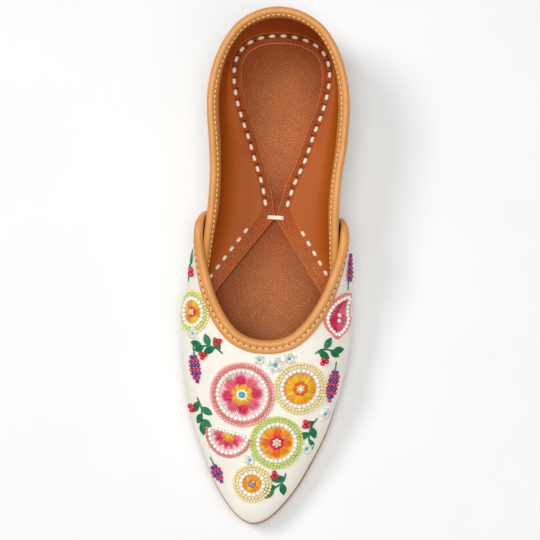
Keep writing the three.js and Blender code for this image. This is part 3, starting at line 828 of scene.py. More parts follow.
half, y = inset_edge(insole_inset, SLAB_ROWS)
points, faces = slab(half, y, insole_section, 40)
footbed = add_piece("footbed", row(points), faces, [footbed_leather], "footbed_leather", "insole")

# Paler in an oval under the heel and one under the ball of the foot, and darker towards the walls: partly
# rubbed by the foot and partly painted shade near the walls. Middle y, half width, half length
OVALS = [(76, 23, 44), (-22, 30, 46)]
x, y = points[:, 0], points[:, 1]
worn_and_lit = [1 - (x / half) ** 2 - ((y - middle) / length) ** 2 for middle, half, length in OVALS]
give(footbed, "wear_and_painted_shade", smooth(np.maximum(*worn_and_lit)))

# The band's window: its edge from the front, past the waist, to the heel's back, one side
edge_half, edge_y = inset_edge(lambda v: insole_inset(v) + SEAT_GAP, 1201)
window = np.array([(max(BAND_TIE_GAP / 2, h * HALF_BALL), float(y_at(a))) for a, h in WINDOW_ROWS])
window[-1, 0] = 0
waist_y = float(y_at(WAIST))
drop = Curve(window[window[:, 1] > waist_y]).at(evenly(400))
drop = np.concatenate([[[BAND_TIE_GAP / 2, waist_y]], drop])
wedge_y = np.linspace(waist_y, float(y_at(WEDGE_START)), 400)
wedge_x = np.interp(wedge_y, window[:, 1], window[:, 0])
outer_x = np.interp(wedge_y, edge_y, edge_half)
stop = int(np.argmax(wedge_x >= outer_x))
wedge = np.stack([wedge_x, wedge_y], 1)[: stop + 1]
front_y = wedge[-1, 1]


def outer_line(y0, y1, count):
    keep = (edge_y >= y0) & (edge_y <= y1)
    return resample(np.stack([edge_half[keep], edge_y[keep]], 1), count)


FRONT, BACK = 90, 190
inner_edge = np.concatenate([resample(wedge, FRONT)[::-1], resample(drop, BACK)[1:]])
outer_edge = np.concatenate(
    [outer_line(front_y, waist_y, FRONT), outer_line(waist_y, edge_y.max() + 1, BACK)[1:]]
)

# The band's section from the window outwards, by distance from the window and height over the top:
# its edge, and round the drop a puffed rim that the seam draws down
LIP = [(0.0, -BAND_THICKNESS), (0.02, -0.5), (0.12, -0.16), (0.4, -0.02), (0.9, 0.03)]
PUFF = [(1.5, 0.1), (2.2, 0.14), (2.8, 0.1), (3.3, -0.08), (3.7, -0.24), (4.1, -0.24), (4.5, -0.1), (5.0, 0)]
EDGE_WAVE = 0.1


def band_side(sign):
    """The right side of the band with sign 1, the left with -1."""
    run = np.arange(len(inner_edge))
    # a slightly uneven cut, less so along the wedge, even at the heel's back
    wobble = EDGE_WAVE * (np.sin(run * 0.55 + sign) + np.sin(run * 0.23 + 2 * sign))
    wobble = wobble * np.clip((run[-1] - run) / 12, 0, 1) * np.where(run < FRONT, 0.4, 1)
    span = outer_edge - inner_edge
    reach = np.maximum(np.linalg.norm(span, axis=1, keepdims=True), 1e-6)
    start = inner_edge + span / reach * wobble[:, None] * np.clip(reach / 6, 0, 1)

    def outwards(start, share):
        return start + (outer_edge - start) * share

    rows = [(outwards(start, np.minimum(gap / reach, 0.5)), lift) for gap, lift in LIP]
    seamed = np.clip((run - FRONT - 3) / 10, 0, 1)
    for gap, lift in PUFF:
        share = np.minimum(gap / reach, 0.5 + 0.4 * gap / PUFF[-1][0])
        rows.append((outwards(start, share), lift * seamed))
    puffed = rows[-1][0]
    rows += [(outwards(puffed, share), 0.0) for share in evenly(10)[1:]]
    rows.append((outer_edge, -BAND_THICKNESS))
    ring = np.stack(
        [np.column_stack([sign * xy[:, 0], xy[:, 1], band_top(xy[:, 1]) + lift]) for xy, lift in rows], 1
    )
    count, around = ring.shape[:2]
    faces = ring_faces(count, around)
    # round the drop the lip has the pale colour of a cut edge with painted highlight on it; along the wedge
    # it is pale only on the right side, as a painted highlight where that edge faces the light, and on the
    # left side it gets a dark painted shadow line
    along, across = np.meshgrid(np.arange(count - 1), np.arange(around), indexing="ij")
    lip, wedged = across < 3, along <= FRONT
    cut = lip & ~wedged if sign < 0 else lip & (along > 4)
    wedge_shadow = lip & wedged & (sign < 0)
    return ring.reshape(-1, 3), (faces if sign < 0 else flip(faces)), (cut + 2 * wedge_shadow).reshape(-1)


right, left = band_side(1), band_side(-1)
points, faces = join([right[:2], left[:2]])
leathers = [band_leather, cut_edge_and_highlight_leather, painted_shade_leather]
picks = np.concatenate([right[2], left[2]])
band = add_piece("footbed_band", row(points), faces, leathers, "footbed_leather", "insole_band", picks, 60)
# Paler towards the front from this y on, as painted light; the darker base colour at the heel is painted
# shade
BAND_LIT_Y = 34
give(band, "wear_and_painted_shade", smooth((BAND_LIT_Y - points[:, 1]) / BAND_LIT_Y))


# Seams on the band: how far the heel's one and the creases beside it are from the window, and where
# they end in front
SEAM_INSET, CREASE_INSET = 3.9, 3.0
SEAM_END_Y = 31


def offset_line(line, distance):
    tangent = unit(np.gradient(line, axis=0))
    return line + np.stack([tangent[:, 1], -tangent[:, 0]], 1) * distance


def heel_line(distance):
    """A line round the window's drop, at a distance from it, on the right side."""
    line = offset_line(resample(drop, 600), distance)
    return line[(line[:, 1] > SEAM_END_Y) & (line[:, 0] > 0)]


FRONT_SEAM = np.array([(12.6, 21.9), (20.6, 10.3), (28.3, -1.3), (31.5, -6.2)])
heel_seam = heel_line(SEAM_INSET)

# Lining: it starts outside the seams, lies on the band and turns up the quarter's inner face in a
# cove. It stays off the face's foot and the face itself by gaps, and ends a little below the face's
# top edge, which is at 2
LINING_START = 1.25
LINING_LIFT = 0.14
FOOT_GAP = 1.4
FACE_GAP = 0.16
LINING_TOP = 1.9
COVE_RADIUS = 9.0
# Between the heel's seam and the front one it bridges the band through this x, this much farther
# forward than the heel's seam ends
BRIDGE_X, BRIDGE_AHEAD = 8.6, 4.5
BACK_COUNT, FRONT_COUNT = 150, 70


def lining_lines():
    """The line on the band where the lining starts, on the right side, and the places across the
    quarter that it runs out to."""
    across = evenly(2001)
    foot = quarter.rib(across)[0][:, :2]
    outer = offset_line(heel_seam, LINING_START)
    outer = outer[outer[:, 0] > 0]
    outer = np.concatenate([outer, [[0, outer[-1, 1]]]])[::-1]
    ahead = offset_line(FRONT_SEAM[::-1], -LINING_START)[::-1]
    ahead = np.concatenate([ahead, [[ahead[-1, 0] + 2, foot[-1, 1] + 0.5]]])
    turn_y = float(outer[-1, 1]) - BRIDGE_AHEAD
    bridge = Curve([outer[-12], outer[-1], (BRIDGE_X, turn_y), ahead[0], ahead[1]]).at(evenly(80))
    bridge = bridge[(bridge[:, 1] < outer[-1, 1]) & (bridge[:, 1] > ahead[0, 1])]
    cut = int(np.argmin(np.abs(foot[:, 1] - turn_y)))
    ahead_line = resample(np.concatenate([bridge, ahead]), 200)
    wall_x = np.interp(-ahead_line[:, 1], -foot[cut // 2 :, 1], foot[cut // 2 :, 0])
    ahead_line[:, 0] = np.minimum(ahead_line[:, 0], wall_x - FOOT_GAP)
    end = int(np.argmin(np.abs(foot[:, 1] - (ahead_line[-1, 1] - 0.5))))
    forward = np.concatenate([[outer[-1]], ahead_line, [foot[end]]])
    start = np.concatenate([resample(outer, BACK_COUNT), resample(forward, FRONT_COUNT)[1:]])

    def spread(first, last, count):
        run = run_along(foot[first : last + 1])
        return np.interp(evenly(count), run / run[-1], across[first : last + 1])

    return start, np.concatenate([spread(0, cut, BACK_COUNT), spread(cut, end, FRONT_COUNT)[1:]])


def make_lining():
    """The start line, the part that lies on the band, the cove, and the part on the quarter's face."""
    start, w = lining_lines()
    v = np.linspace(0, LINING_TOP, 200)
    face, _, _, normal = quarter.frames(w[:, None], v[None])
    face = face - normal * FACE_GAP

    def on_face(levels):
        return np.array([[np.interp(at, v, line[:, k]) for k in range(3)] for at, line in zip(levels, face)])

    def level_of(heights):
        return np.array([np.interp(z, line[:, 2], v) for z, line in zip(heights, face)])

    floor_z = band_top(face[:, 0, 1]) + LINING_LIFT
    corner = on_face(level_of(floor_z))
    start = np.column_stack([start, band_top(start[:, 1]) + LINING_LIFT])
    span = corner - start
    span[:, 2] = 0
    reach = np.linalg.norm(span, axis=1, keepdims=True)
    radius = np.minimum(COVE_RADIUS, 0.8 * reach)[:, 0]
    way = span / np.maximum(reach, 1e-6)
    cove_start = corner - way * radius[:, None]
    level = level_of(floor_z + np.maximum(radius, 1.5))
    cove_end = on_face(level)
    rows = [start - [0, 0, 0.5], start + way * 0.05 - [0, 0, 0.06]]
    for share in evenly(12)[1:]:
        lying = start + (cove_start - start) * share
        lying[:, 2] = band_top(lying[:, 1]) + LINING_LIFT
        rows.append(lying)
    for u in evenly(13)[1:]:
        cove = cove_start * (1 - u) ** 2 + corner * 2 * u * (1 - u) + cove_end * u * u
        cove[:, 2] += (band_top(cove[:, 1]) + LINING_LIFT - floor_z) * (1 - u) ** 2
        rows.append(cove)
    rows += [on_face(level + (LINING_TOP - level) * share) for share in evenly(22)[1:]]
    grid = np.stack(rows, 1)
    faces = ring_faces(*grid.shape[:2], False)
    return join([(grid.reshape(-1, 3), flip(faces)), ((grid * MIRROR).reshape(-1, 3), faces)])


points, faces = make_lining()
add_piece("lining", row(points), faces, [lining_leather], "footbed_leather")


# Many small copies of one shape
def scatter(base, base_faces, places, axes, sizes):
    """Copies of a shape at places, along axes (n, 3, 3) and with sizes (n, 3)."""
    scaled = base[None] * sizes[:, None]
    points = places[:, None] + np.einsum("nbk,nkj->nbj", scaled, axes)
    shift = (np.arange(len(places)) * len(base))[:, None, None]
    return points.reshape(-1, 3), (base_faces[None] + shift).reshape(-1, 4).tolist()


def circle(around):
    a = np.arange(around) * 2 * math.pi / around
    return np.cos(a), np.sin(a)


def capsule(around, along, dive):
    """A stitch of length 2 along x, width 2 along y and height 1 along z, its ends going down."""
    x = np.linspace(-1, 1, along + 1)[:, None]
    side, up = np.maximum(0.12, (1 - np.abs(x) ** 5) ** 0.5) * np.array(circle(around))[:, None]
    rings = np.stack(np.broadcast_arrays(x, side, up - dive * np.abs(x) ** 3), -1)
    return rings.reshape(-1, 3), wall_faces(along + 1, around)


def sphere(around, rings):
    down = np.arange(rings + 1)[:, None] * math.pi / rings
    side, ahead = np.maximum(np.sin(down), 0.02) * np.array(circle(around))[:, None]
    points = np.stack(np.broadcast_arrays(side, ahead, np.cos(down)), -1)
    return points.reshape(-1, 3), flip(ring_faces(rings + 1, around))


def axes_from(along, up):
    along = unit(along - up * dot(along, up))
    return np.stack([along, np.cross(up, along), up], 1)


stitch_shape = capsule(8, 8, 1.1)
small_stitch = capsule(6, 6, 1.0)


def stitches_on(binding, depth, offset, pitch, length, width, reach, phase=0.5):
    """Machine stitches along a binding, at a depth and offset of its section, up to a reach from its
    middle. phase is the first one's place in its pitch."""
    fine = np.linspace(-reach, reach, 4001)
    run = run_along(binding.place(fine, depth, offset)[0])
    count = int(run[-1] / pitch)
    share = np.interp((np.arange(count) + phase) / count * run[-1], run, fine)
    back, place, ahead = [row(binding.place(share + step, depth, offset)[0]) for step in (-2e-3, 0, 2e-3)]
    up = binding.place(share, depth, offset)[1] * (1 if offset > WALL / 2 else -1)
    sizes = np.tile([length / 2000, width / 2000, width / 2000], (count, 1))
    return scatter(*small_stitch, place, axes_from(ahead - back, up), sizes)


# Machine stitches' pitch, length and width
COLLAR_STITCH = (2.5, 1.85, 0.52)
THROAT_STITCH = (3.2, 2.35, 0.55)
INNER_STITCH = (3.2, 2.35, 0.52)
NEEDLE_HOLE = (3.2, 0.7, 0.55)
parts = [
    stitches_on(collar, -0.3, -0.88, *COLLAR_STITCH, 0.98),
    stitches_on(collar, 2.9, 2.8, *COLLAR_STITCH, 0.98),
    stitches_on(throat, 1.95, 2.94, *THROAT_STITCH, 0.965),
    stitches_on(throat, 2.3, -1.3, *INNER_STITCH, 0.6),
]
add_piece("edge_stitches", *join(parts), [yellow_thread], "binding_leather")
# Dark dots between the throat's stitches: painted shade in the needle holes
holes = stitches_on(throat, 1.95, 2.88, *NEEDLE_HOLE, 0.965, 1.0)
add_piece("needle_hole_shade", *holes, [painted_shade_leather], "binding_leather")


# Saddle stitches round the window, and the one that ties the band's two sides
def along_line(line, pitch, length, width, shift=0.0):
    """Places, ways, ups and sizes of stitches on the band along a line."""
    line = resample(line, 400)
    run = run_along(line)
    count = max(1, int(round(run[-1] / pitch)))
    at = (np.arange(count) + 0.5 + shift) / count * run[-1]
    at = at[at < run[-1] - pitch / 4]
    xy = pick(at, run, line)
    way = pick(at + 0.5, run, line) - pick(at - 0.5, run, line)
    place = np.column_stack([xy, band_top(xy[:, 1]) + 0.05])
    up = np.tile([0.0, 0, 1], (len(at), 1))
    sizes = np.tile([length / 2000, width / 2000, width / 2200], (len(at), 1))
    return place, unit(np.column_stack([way, 0 * at])), up, sizes


SADDLE_LENGTH, SADDLE_WIDTH = 3.5, 1.75
HEEL_PITCH, FRONT_PITCH = 5.72, 5.6
seams = [(both_sides(heel_seam), HEEL_PITCH), (FRONT_SEAM, FRONT_PITCH), (FRONT_SEAM * [-1, 1], FRONT_PITCH)]
parts = []
for line, pitch in seams:
    place, way, up, sizes = along_line(line, pitch, SADDLE_LENGTH, SADDLE_WIDTH)
    parts.append(scatter(*stitch_shape, row(place), axes_from(way, up), sizes))

# Two strands tie the band's sides together at the waist; the size is in metres
TIE_Y = 26.7
TIE_TILT = 0.012
TIE_SIZE = np.array([[0.0048, 0.00058, 0.0009]])
for dy in (-0.5, 0.5):
    place = np.array([[0.0, TIE_Y + dy, float(band_top(TIE_Y)) + 0.2]])
    axes = axes_from(np.array([[1.0, TIE_TILT * dy, 0]]), np.array([[0.0, 0, 1]]))
    parts.append(scatter(*stitch_shape, row(place), axes, TIE_SIZE))
add_piece("saddle_stitches", *join(parts), [cream_thread], "footbed_leather")

# Painted shade of the creases pressed across the band between the stitches: dark marks lying nearly flush
CREASE_STITCH = (5.6, 3.4, 0.6)
place, way, up, sizes = along_line(both_sides(heel_line(CREASE_INSET)), *CREASE_STITCH, 0.5)
place[:, 2] -= 0.04
crease_shade = scatter(*small_stitch, row(place), axes_from(np.cross(up, way), up), sizes * [1, 1, 0.6])
add_piece("band_crease_shade", *crease_shade, [painted_shade_leather], "footbed_leather")

# Embroidery on the vamp: its outer face, to lay beads and threads on
fine_w, fine_v = np.linspace(-1, 1, 361), np.linspace(0.3, 2, 141)
face_point, _, _, face_normal = vamp.frames(fine_w[:, None], fine_v[None])
face_points = row(face_point + face_normal * WALL)
face_quads = ring_faces(len(fine_w), len(fine_v), False)
vamp_tree = BVHTree.FromPolygons(face_points.reshape(-1, 3).tolist(), face_quads.tolist())

# What the motifs below are made of, by colour
bead_groups, thread_groups, tone_groups = {}, {}, {}
rng = np.random.default_rng(7)
# The distance between beads as a share of their radius, the points across a thread, and how far off
# the leather a ray starts and how far it looks, in metres
BEAD_PITCH = 1.93
THREAD_SIDES = 5
RAY_RISE, RAY_REACH = 0.02, 0.06


def directions(degrees):
    """The way at an angle on the plan, and the way square to it."""
    a = math.radians(degrees)
    return np.array([math.cos(a), math.sin(a)]), np.array([-math.sin(a), math.cos(a)])


def rays(count, first=0.0, arc=2 * math.pi):
    """Ways out from the middle of a disc, evenly over an arc of it."""
    a = first + (np.arange(count) + 0.5) * arc / count
    return np.stack([np.cos(a), np.sin(a)], 1)


class Spot:
    """A place on the vamp that a motif is worked round: its own flat coordinates in millimetres,
    laid on the leather along its normal. steep is how much further down the side it may be."""

    def __init__(self, x, y, turn=0.0, steep=0.0):
        target = (np.array([x, y, 0]) + SHIFT)[:2] / 1000
        off = np.linalg.norm(face_points[:, :, :2] - target, axis=2)
        off[:, fine_v < 0.95 - steep] = np.inf
        i, k = np.unravel_index(np.argmin(off), off.shape)
        self.centre = face_points[i, k]
        self.normal = vamp.frames(fine_w[i : i + 1], fine_v[k : k + 1])[3][0]
        a = math.radians(turn)
        side = np.array([math.cos(a), math.sin(a), 0.0])
        self.side = unit(side - self.normal * (side @ self.normal))
        self.ahead = np.cross(self.normal, self.side)

    def at(self, flat):
        """Places and normals on the vamp for flat coordinates, and which of them meet it."""
        flat = np.asarray(flat, float).reshape(-1, 2) / 1000
        origins = self.centre + flat[:, :1] * self.side + flat[:, 1:] * self.ahead + self.normal * RAY_RISE
        places, normals, hit = np.zeros_like(origins), np.zeros_like(origins), np.zeros(len(origins), bool)
        down = Vector(-self.normal)
        for i, origin in enumerate(origins):
            place, normal, _, _ = vamp_tree.ray_cast(Vector(origin), down, RAY_REACH)
            if place is not None:
                places[i], normals[i], hit[i] = place, -normal if normal.dot(down) > 0 else normal, True
        return places, normals, hit

    def bead(self, colour, flat, radius, squash=0.85, stretch=1.0):
        places, normals, hit = self.at(flat)
        if not hit.any():
            return
        places, normals = places[hit], normals[hit]
        size = radius * (1 + rng.uniform(-0.06, 0.06, len(places))) / 1000
        lift = size[:, None] * squash * 0.75
        axes = axes_from(np.tile(self.side, (len(places), 1)), normals)
        sizes = np.stack([size * stretch, size, size * squash], 1)
        bead_groups.setdefault(colour, []).append((places + normals * lift, axes, sizes))

    def ring(self, colour, radius, bead, squash=0.85, first=0.0, arc=2 * math.pi):
        count = max(3, int(round(radius * arc / (BEAD_PITCH * bead))))
        self.bead(colour, radius * rays(count, first, arc), bead, squash)

    def line(self, colour, path, bead):
        path = np.asarray(path, float)
        run = run_along(path)
        count = max(2, int(round(run[-1] / (BEAD_PITCH * bead))))
        self.bead(colour, pick((np.arange(count) + 0.5) / count * run[-1], run, path), bead)

    def satin(self, colour, starts, ends, width, high=0.55, base=0.25, steps=6, bow=0.0):
        """Threads side by side, from starts to ends, standing in a low hump."""
        starts, ends = np.asarray(starts, float), np.asarray(ends, float)
        count = len(starts)
        share = evenly(steps)
        path = starts[:, None] + (ends - starts)[:, None] * share[None, :, None]
        across = unit(np.stack([-(ends - starts)[:, 1], (ends - starts)[:, 0]], 1))
        bow = np.broadcast_to(bow, (count,))
        path = path + across[:, None] * (bow[:, None] * np.sin(np.pi * share)[None])[..., None]
        places, normals, hit = self.at(path)
        whole = hit.reshape(count, steps).all(1)
        if not whole.any():
            return
        places = places.reshape(count, steps, 3)[whole]
        normals = normals.reshape(count, steps, 3)[whole]
        kept = len(places)
        lift = (base + high * np.sin(np.pi * np.clip(share, 0.04, 0.96)) ** 0.6) / 1000
        lift = lift[None] * (1 + rng.uniform(-0.1, 0.1, kept))[:, None]
        side = unit(np.cross(normals, unit(np.gradient(places, axis=1))))
        pinch = np.clip(1.25 * np.sin(np.pi * np.clip(share, 0.1, 0.9)) ** 0.5, 0.5, 1)
        angles = np.linspace(0, math.pi, THREAD_SIDES)
        out = np.cos(angles) * (width / 2000 * pinch)[:, None]
        rise = lift[..., None] * (0.12 + 0.88 * np.sin(angles)) - 0.0001
        ring = places[:, :, None] + side[:, :, None] * out[..., None] + normals[:, :, None] * rise[..., None]
        tone = np.repeat(rng.uniform(0, 1, kept), steps * THREAD_SIDES)
        shift = (np.arange(kept) * steps * THREAD_SIDES)[:, None, None]
        faces = (ring_faces(steps, THREAD_SIDES, False)[None] + shift).reshape(-1, 4)
        thread_groups.setdefault(colour, []).append((ring.reshape(-1, 3), faces.tolist()))
        tone_groups.setdefault(colour, []).append(tone)

    def petal(self, colour, direction, near, far, half, width=0.85, high=0.6):
        """A petal filled with threads that run out from its foot, its far end round."""
        along, side = directions(direction)
        count = max(4, int(round(2 * half / width)) + 1)
        t = np.linspace(-1, 1, count)
        starts = along * near + side * (t * half * 0.28)[:, None]
        length = far - (far - near) * 0.32 * np.abs(t) ** 2.4
        ends = along * length[:, None] + side * (t * half * 0.97)[:, None]
        self.satin(colour, starts, ends, 2.1 * half / count * 1.12, high)

    def petals(self, colours, degrees, *shape):
        """Petals at angles, in turn of the colours."""
        for k, a in enumerate(degrees):
            self.petal(colours[k % len(colours)], a, *shape)

    def leaf(self, foot, direction, length, half):
        """A green leaf of seven long threads that all run from its foot to its tip."""
        starts = np.tile(np.asarray(foot, float), (7, 1))
        ends = starts + length * directions(direction)[0]
        self.satin("green", starts, ends, 2.3 * half / 6, 0.6, 0.25, 7, np.linspace(-half, half, 7))

    def stem(self, path, width=1.0):
        """A green stem of short stitches end to end."""
        curve = Curve(path)
        count = max(2, int(curve.length / 2.6))
        at = curve.at(evenly(count + 1))
        drift = (at[1:] - at[:-1]) * 0.12
        self.satin("green", at[:-1] - drift, at[1:] + drift, width, 0.45, 0.2, 4)

    def ground(self, colour, near, far, first=0.0, arc=2 * math.pi):
        """A disc, or part of one, filled with threads that run out from its middle."""
        out = rays(int(arc * far / 0.95), first, arc)
        self.satin(colour, out * near, out * far, 1.04, 0.22, 0.22, 5)


def rosette(x, y, radius, petals, inner, under, seeds, seeds_out, heart, turn=0.0, count=8):
    """A round flower: two rows of petals on a satin disc, a pearl ring and seed beads round it."""
    spot = Spot(x, y, turn)
    fill = radius - 4.35
    step = 360 / count
    reach = fill * math.tan(math.radians(step / 2)) * 0.97
    spot.ground(under, fill * 0.5, fill + 0.45)
    turns = np.arange(count)
    spot.petals(petals, turns * step, fill * 0.34, fill * 0.96, reach * 0.84)
    spot.petals([inner], (turns + 0.5) * step, fill * 0.14, fill * 0.56, reach * 0.44, 0.8, 1.0)
    spot.ring(heart[0], fill * 0.2, 0.8, 1.0)
    spot.bead(heart[1], [(0, 0)], 1.35, 1.0)
    spot.ring("pearl", fill + 1.2, 1.14)
    spot.ring(seeds, fill + 3.0, 0.84)
    spot.ring(seeds_out, fill + 4.5, 0.8, first=0.1)


def fan(x, y, radius, colours, under, seeds, turn, half_angle=88):
    """A half-round flower: pointed petals in two rows over a row of pearls."""
    spot = Spot(x, y, turn)
    fill = radius - 3.4
    arc = math.radians(2 * half_angle)
    spot.ground(under, 1.0, fill + 0.45, -arc / 2, arc)
    degrees = -half_angle + 2 * half_angle * (np.arange(7) + 0.5) / 7
    spot.petals(colours[:2], degrees, fill * 0.3, fill * 0.96, fill * 0.19, 0.8)
    spot.petals(colours[2:], degrees[1:-1], 0.4, fill * 0.52, fill * 0.12, 0.75, 1.0)
    arc += math.radians(8)
    spot.ring("pearl", fill + 1.15, 1.12, first=-arc / 2, arc=arc)
    spot.ring(seeds, fill + 2.9, 0.82, first=-arc / 2, arc=arc)
    spot.line("pearl", [(-0.9, -fill - 0.4), (-0.9, fill + 0.4)], 0.95)


def drop_motif(x, y, length, half, colours, pearl, seeds, turn, curl):
    """A bent drop: satin across its body, a pearl outline and seed beads outside."""
    spot = Spot(x, y, turn, 0.2)
    widest = 0.42
    t = evenly(40)
    head = np.sin(np.pi / 2 * np.clip(t / widest, 0, 1)) ** 0.7
    tail = np.cos(np.pi / 2 * np.clip((t - widest) / (1 - widest), 0, 1)) ** 1.15
    wide = half * np.where(t < widest, head, tail)
    bent = curl * half * 1.1 * np.clip((t - 0.45) / 0.55, 0, 1) ** 2
    spine = np.stack([length * (t - widest), bent], 1)
    tangent = unit(np.gradient(spine, axis=0))
    side = np.stack([-tangent[:, 1], tangent[:, 0]], 1)

    def outline_of(grow):
        left, right = spine + side * (wide + grow)[:, None], spine - side * (wide + grow)[:, None]
        left[0] = right[0] = spine[0] - tangent[0] * grow
        return np.concatenate([left[:-1], [spine[-1] + tangent[-1] * grow], right[::-1][1:]])

    at = np.linspace(0.05, 0.95, int(length / 0.85))
    middle_line = pick(at, t, spine)
    reach = pick(at, t, side) * np.interp(at, t, wide)[:, None]
    for start, end, colour in ((0.0, 1.0, colours[0]), (-1.0, 0.0, colours[1])):
        spot.satin(colour, middle_line + reach * start, middle_line + reach * end, 1.05, 0.65)
    spot.line(pearl, outline_of(1.05), 1.05)
    spot.line(seeds, outline_of(2.75), 0.82)
    spot.bead(pearl, [(-0.06 * length, 0.0), (0.1 * length, 0.2)], 1.0, 1.0)


def sprig(x, y, turn, length, leaves, flip_side, fruit):
    """A leafy stem with clusters of three red berries."""
    spot = Spot(x, y, turn, 0.2)
    bows = ((0, 0), (0.35, 1.3), (0.7, 0.6), (1, -0.8))
    path = [(length * share, flip_side * bow) for share, bow in bows]
    spot.stem(path)
    for k in range(leaves):
        share = (k + 0.6) / leaves
        sign = 1 if k % 2 else -1
        spot.leaf(Curve(path).at(np.array([share]))[0], sign * 46, 7.2 - 1.4 * share, 1.55)
    spot.leaf(path[-1], -8 * flip_side, 6.6, 1.5)
    for k in range(fruit):
        ahead, aside = length * (0.28 + 0.42 * k), (4.6 if k % 2 else -4.6) - 0.8
        berries = [(ahead, aside), (ahead + 2.1, aside + 0.5), (ahead + 0.8, aside + 2.0)]
        spot.bead("red", berries, 1.25, 1.0)


def spike(x, y, turn, rows):
    """A long cluster of oval beads, its rows in turn of two colours."""
    spot = Spot(x, y, turn, 0.3)
    colours = ("purple", "magenta")
    for k in range(rows):
        count = 2 if k in (0, rows - 1) else 3
        flat = [((k + 0.5) * 2.0, (j - (count - 1) / 2) * 2.05) for j in range(count)]
        spot.bead(colours[k % 2], flat, 1.12, 0.95, 0.92)
    spot.bead(colours[rows % 2], [(rows * 2.0 + 0.9, 0)], 1.05, 0.95)
    spot.stem([(-4.0, 0), (-1.8, 0.2), (0.4, 0)], 0.9)


def blossom(x, y, turn, size=1.0):
    """A small white flower of looped threads round a turquoise bead."""
    spot = Spot(x, y, turn)
    bows = np.linspace(-1.15, 1.15, 5) * size
    for k in range(6):
        out = directions(60 * k)[0]
        starts, ends = [out * 0.8 * size] * 5, [out * 4.1 * size] * 5
        spot.satin("white_thread", starts, ends, 0.72 * size, 1.25, 0.5, 7, bows)
        spot.bead("pearl", [out * 4.5 * size], 0.6)
    spot.bead("turquoise", [(0, 0)], 1.15 * size, 1.0)


# The layout, in millimetres on the plan. The order matters, because each motif draws random numbers
hot, sunny, fiery = ("magenta", "rose"), ("yellow", "yellow"), ("deep_orange", "orange")
cool_heart, gold_heart = ("pearl", "turquoise"), ("pearl", "gold")
rosette(-9.0, -63.0, 15.0, hot, "yellow", "blush", "coral", "pink", cool_heart, 10)
rosette(18.5, -58.5, 12.0, sunny, "deep_orange", "orange", "cream", "cream", ("gold", "pearl"), 4, 7)
rosette(9.0, -84.5, 12.2, fiery, "magenta", "yellow", "lime", "lime", gold_heart, 0)
fan(-14.8, -82.0, 11.8, ("rose", "magenta", "yellow"), "blush", "coral", -102)
rosette(-35.5, -24.0, 9.8, ("orange", "yellow"), "magenta", "yellow", "lime", "cream", gold_heart, 0, 6)
drop_motif(35.3, -23.5, 17.0, 5.5, hot, "pearl", "coral", 96, -1)
rosette(-1.8, -105.0, 8.6, ("yellow", "orange"), "deep_orange", "orange", "cream", "cream", cool_heart, 0, 6)
sprig(25.0, -41.5, 12, 9.0, 3, 1, 1)
sprig(-19.5, -44.0, 163, 11.0, 4, -1, 2)
sprig(-31.0, -65.5, -80, 12.0, 4, 1, 1)
sprig(28.0, -72.0, -104, 12.0, 4, -1, 1)
sprig(14.0, -99.5, -118, 9.0, 3, 1, 1)
sprig(-38.6, -9.0, 94, 9.0, 3, 1, 1)
spike(-33.5, -45.0, -84, 6)
spike(34.5, -48.5, -88, 7)
spike(38.8, -5.0, 88, 6)
spike(-21.5, -97.0, -62, 4)
blossom(6.4, -47.6, 10)
blossom(-1.2, -45.6, 40, 0.62)
blossom(12.6, -44.2, 25, 0.7)
blossom(31.5, -69.0, 0, 0.75)
blossom(-3.6, -93.6, 20, 0.68)
blossom(-34.2, -34.9, 20, 0.7)
blossom(23.6, -86.5, 20, 0.75)

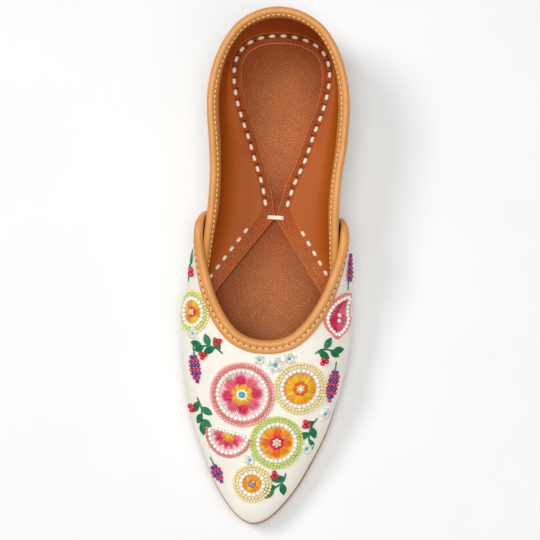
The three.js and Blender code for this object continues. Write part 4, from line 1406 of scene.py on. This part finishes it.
BEADS = {
    "pearl": (250, 246, 236), "cream": (246, 226, 160), "gold": (236, 200, 112), "coral": (240, 120, 110),
    "pink": (246, 172, 170), "lime": (206, 220, 104), "red": (206, 18, 40), "purple": (104, 44, 140),
    "magenta": (206, 24, 92), "turquoise": (40, 176, 196),
}
FLOSS = {
    "orange": (255, 150, 20), "deep_orange": (250, 104, 14), "yellow": (252, 196, 20),
    "magenta": (226, 30, 92), "rose": (240, 96, 122), "blush": (250, 206, 206), "green": (14, 132, 82),
    "white_thread": (250, 246, 236),
}
bead_shape = sphere(10, 7)
for colour, groups in bead_groups.items():
    places, axes, sizes = [np.concatenate([g[k] for g in groups]) for k in range(3)]
    beads = scatter(*bead_shape, places, axes, sizes)
    add_piece("beads_" + colour, *beads, [glass("bead_" + colour, srgb(*BEADS[colour]))])
for colour, parts in thread_groups.items():
    made = add_piece("satin_" + colour, *join(parts), [floss("floss_" + colour, srgb(*FLOSS[colour]))])
    give(made, "tone", np.concatenate(tone_groups[colour]))

# Floor, light and camera
middle = (cad_low + cad_high) / 2


def floor():
    mesh = bpy.data.meshes.new("floor")
    mesh.from_pydata([(-3, -3, 0), (3, -3, 0), (3, 3, 0), (-3, 3, 0)], [], [(0, 1, 2, 3)])
    f = Finish("floor", 0.8)
    f.colour(f.ramp(f.noise(60), (0.3, 0.86), (0.7, 0.88)))
    mesh.materials.append(f.material)
    made = link_up("floor", mesh)


def soft_light(name, place, size, power):
    light = bpy.data.lights.new(name, "AREA")
    light.shape = "DISK"
    light.size = size
    light.energy = power
    made = link_up(name, light)
    made.location = place
    made.rotation_euler = (middle - Vector(place)).to_track_quat("-Z", "Y").to_euler()


floor()
soft_light("key_light", (-0.8, 0.35, 1.3), 0.6, 9.5)
soft_light("fill_light", (0.6, -0.5, 1.2), 0.9, 3)
soft_light("top_light", (0.05, -0.1, 1.9), 0.9, 16)
world = bpy.data.worlds.new("studio")
bpy.context.scene.world = world
world.use_nodes = True
world.node_tree.nodes["Background"].inputs["Color"].default_value = (1, 1, 1, 1)
world.node_tree.nodes["Background"].inputs["Strength"].default_value = 0.25
bpy.context.scene.view_settings.view_transform = "Standard"

CAMERA = Vector((0.0415, -0.1168, 1.0413))
ROLL = 3.3
camera_data = bpy.data.cameras.new("camera")
camera_data.sensor_width = 36
camera_data.lens = 140
camera = link_up("camera", camera_data)
back = (CAMERA - Vector((0.0, 0.0, 0.02))).normalized()
right = (Vector((1, 0, 0)) - back * back.x).normalized()
turn = Matrix((right, back.cross(right), back)).transposed().to_quaternion()
roll = Matrix.Rotation(math.radians(ROLL), 4, "Z")
camera.matrix_world = Matrix.LocRotScale(CAMERA, turn, None) @ roll
camera_data.clip_start, camera_data.clip_end = 0.05, 20
bpy.context.scene.camera = camera

bpy.context.view_layer.update()
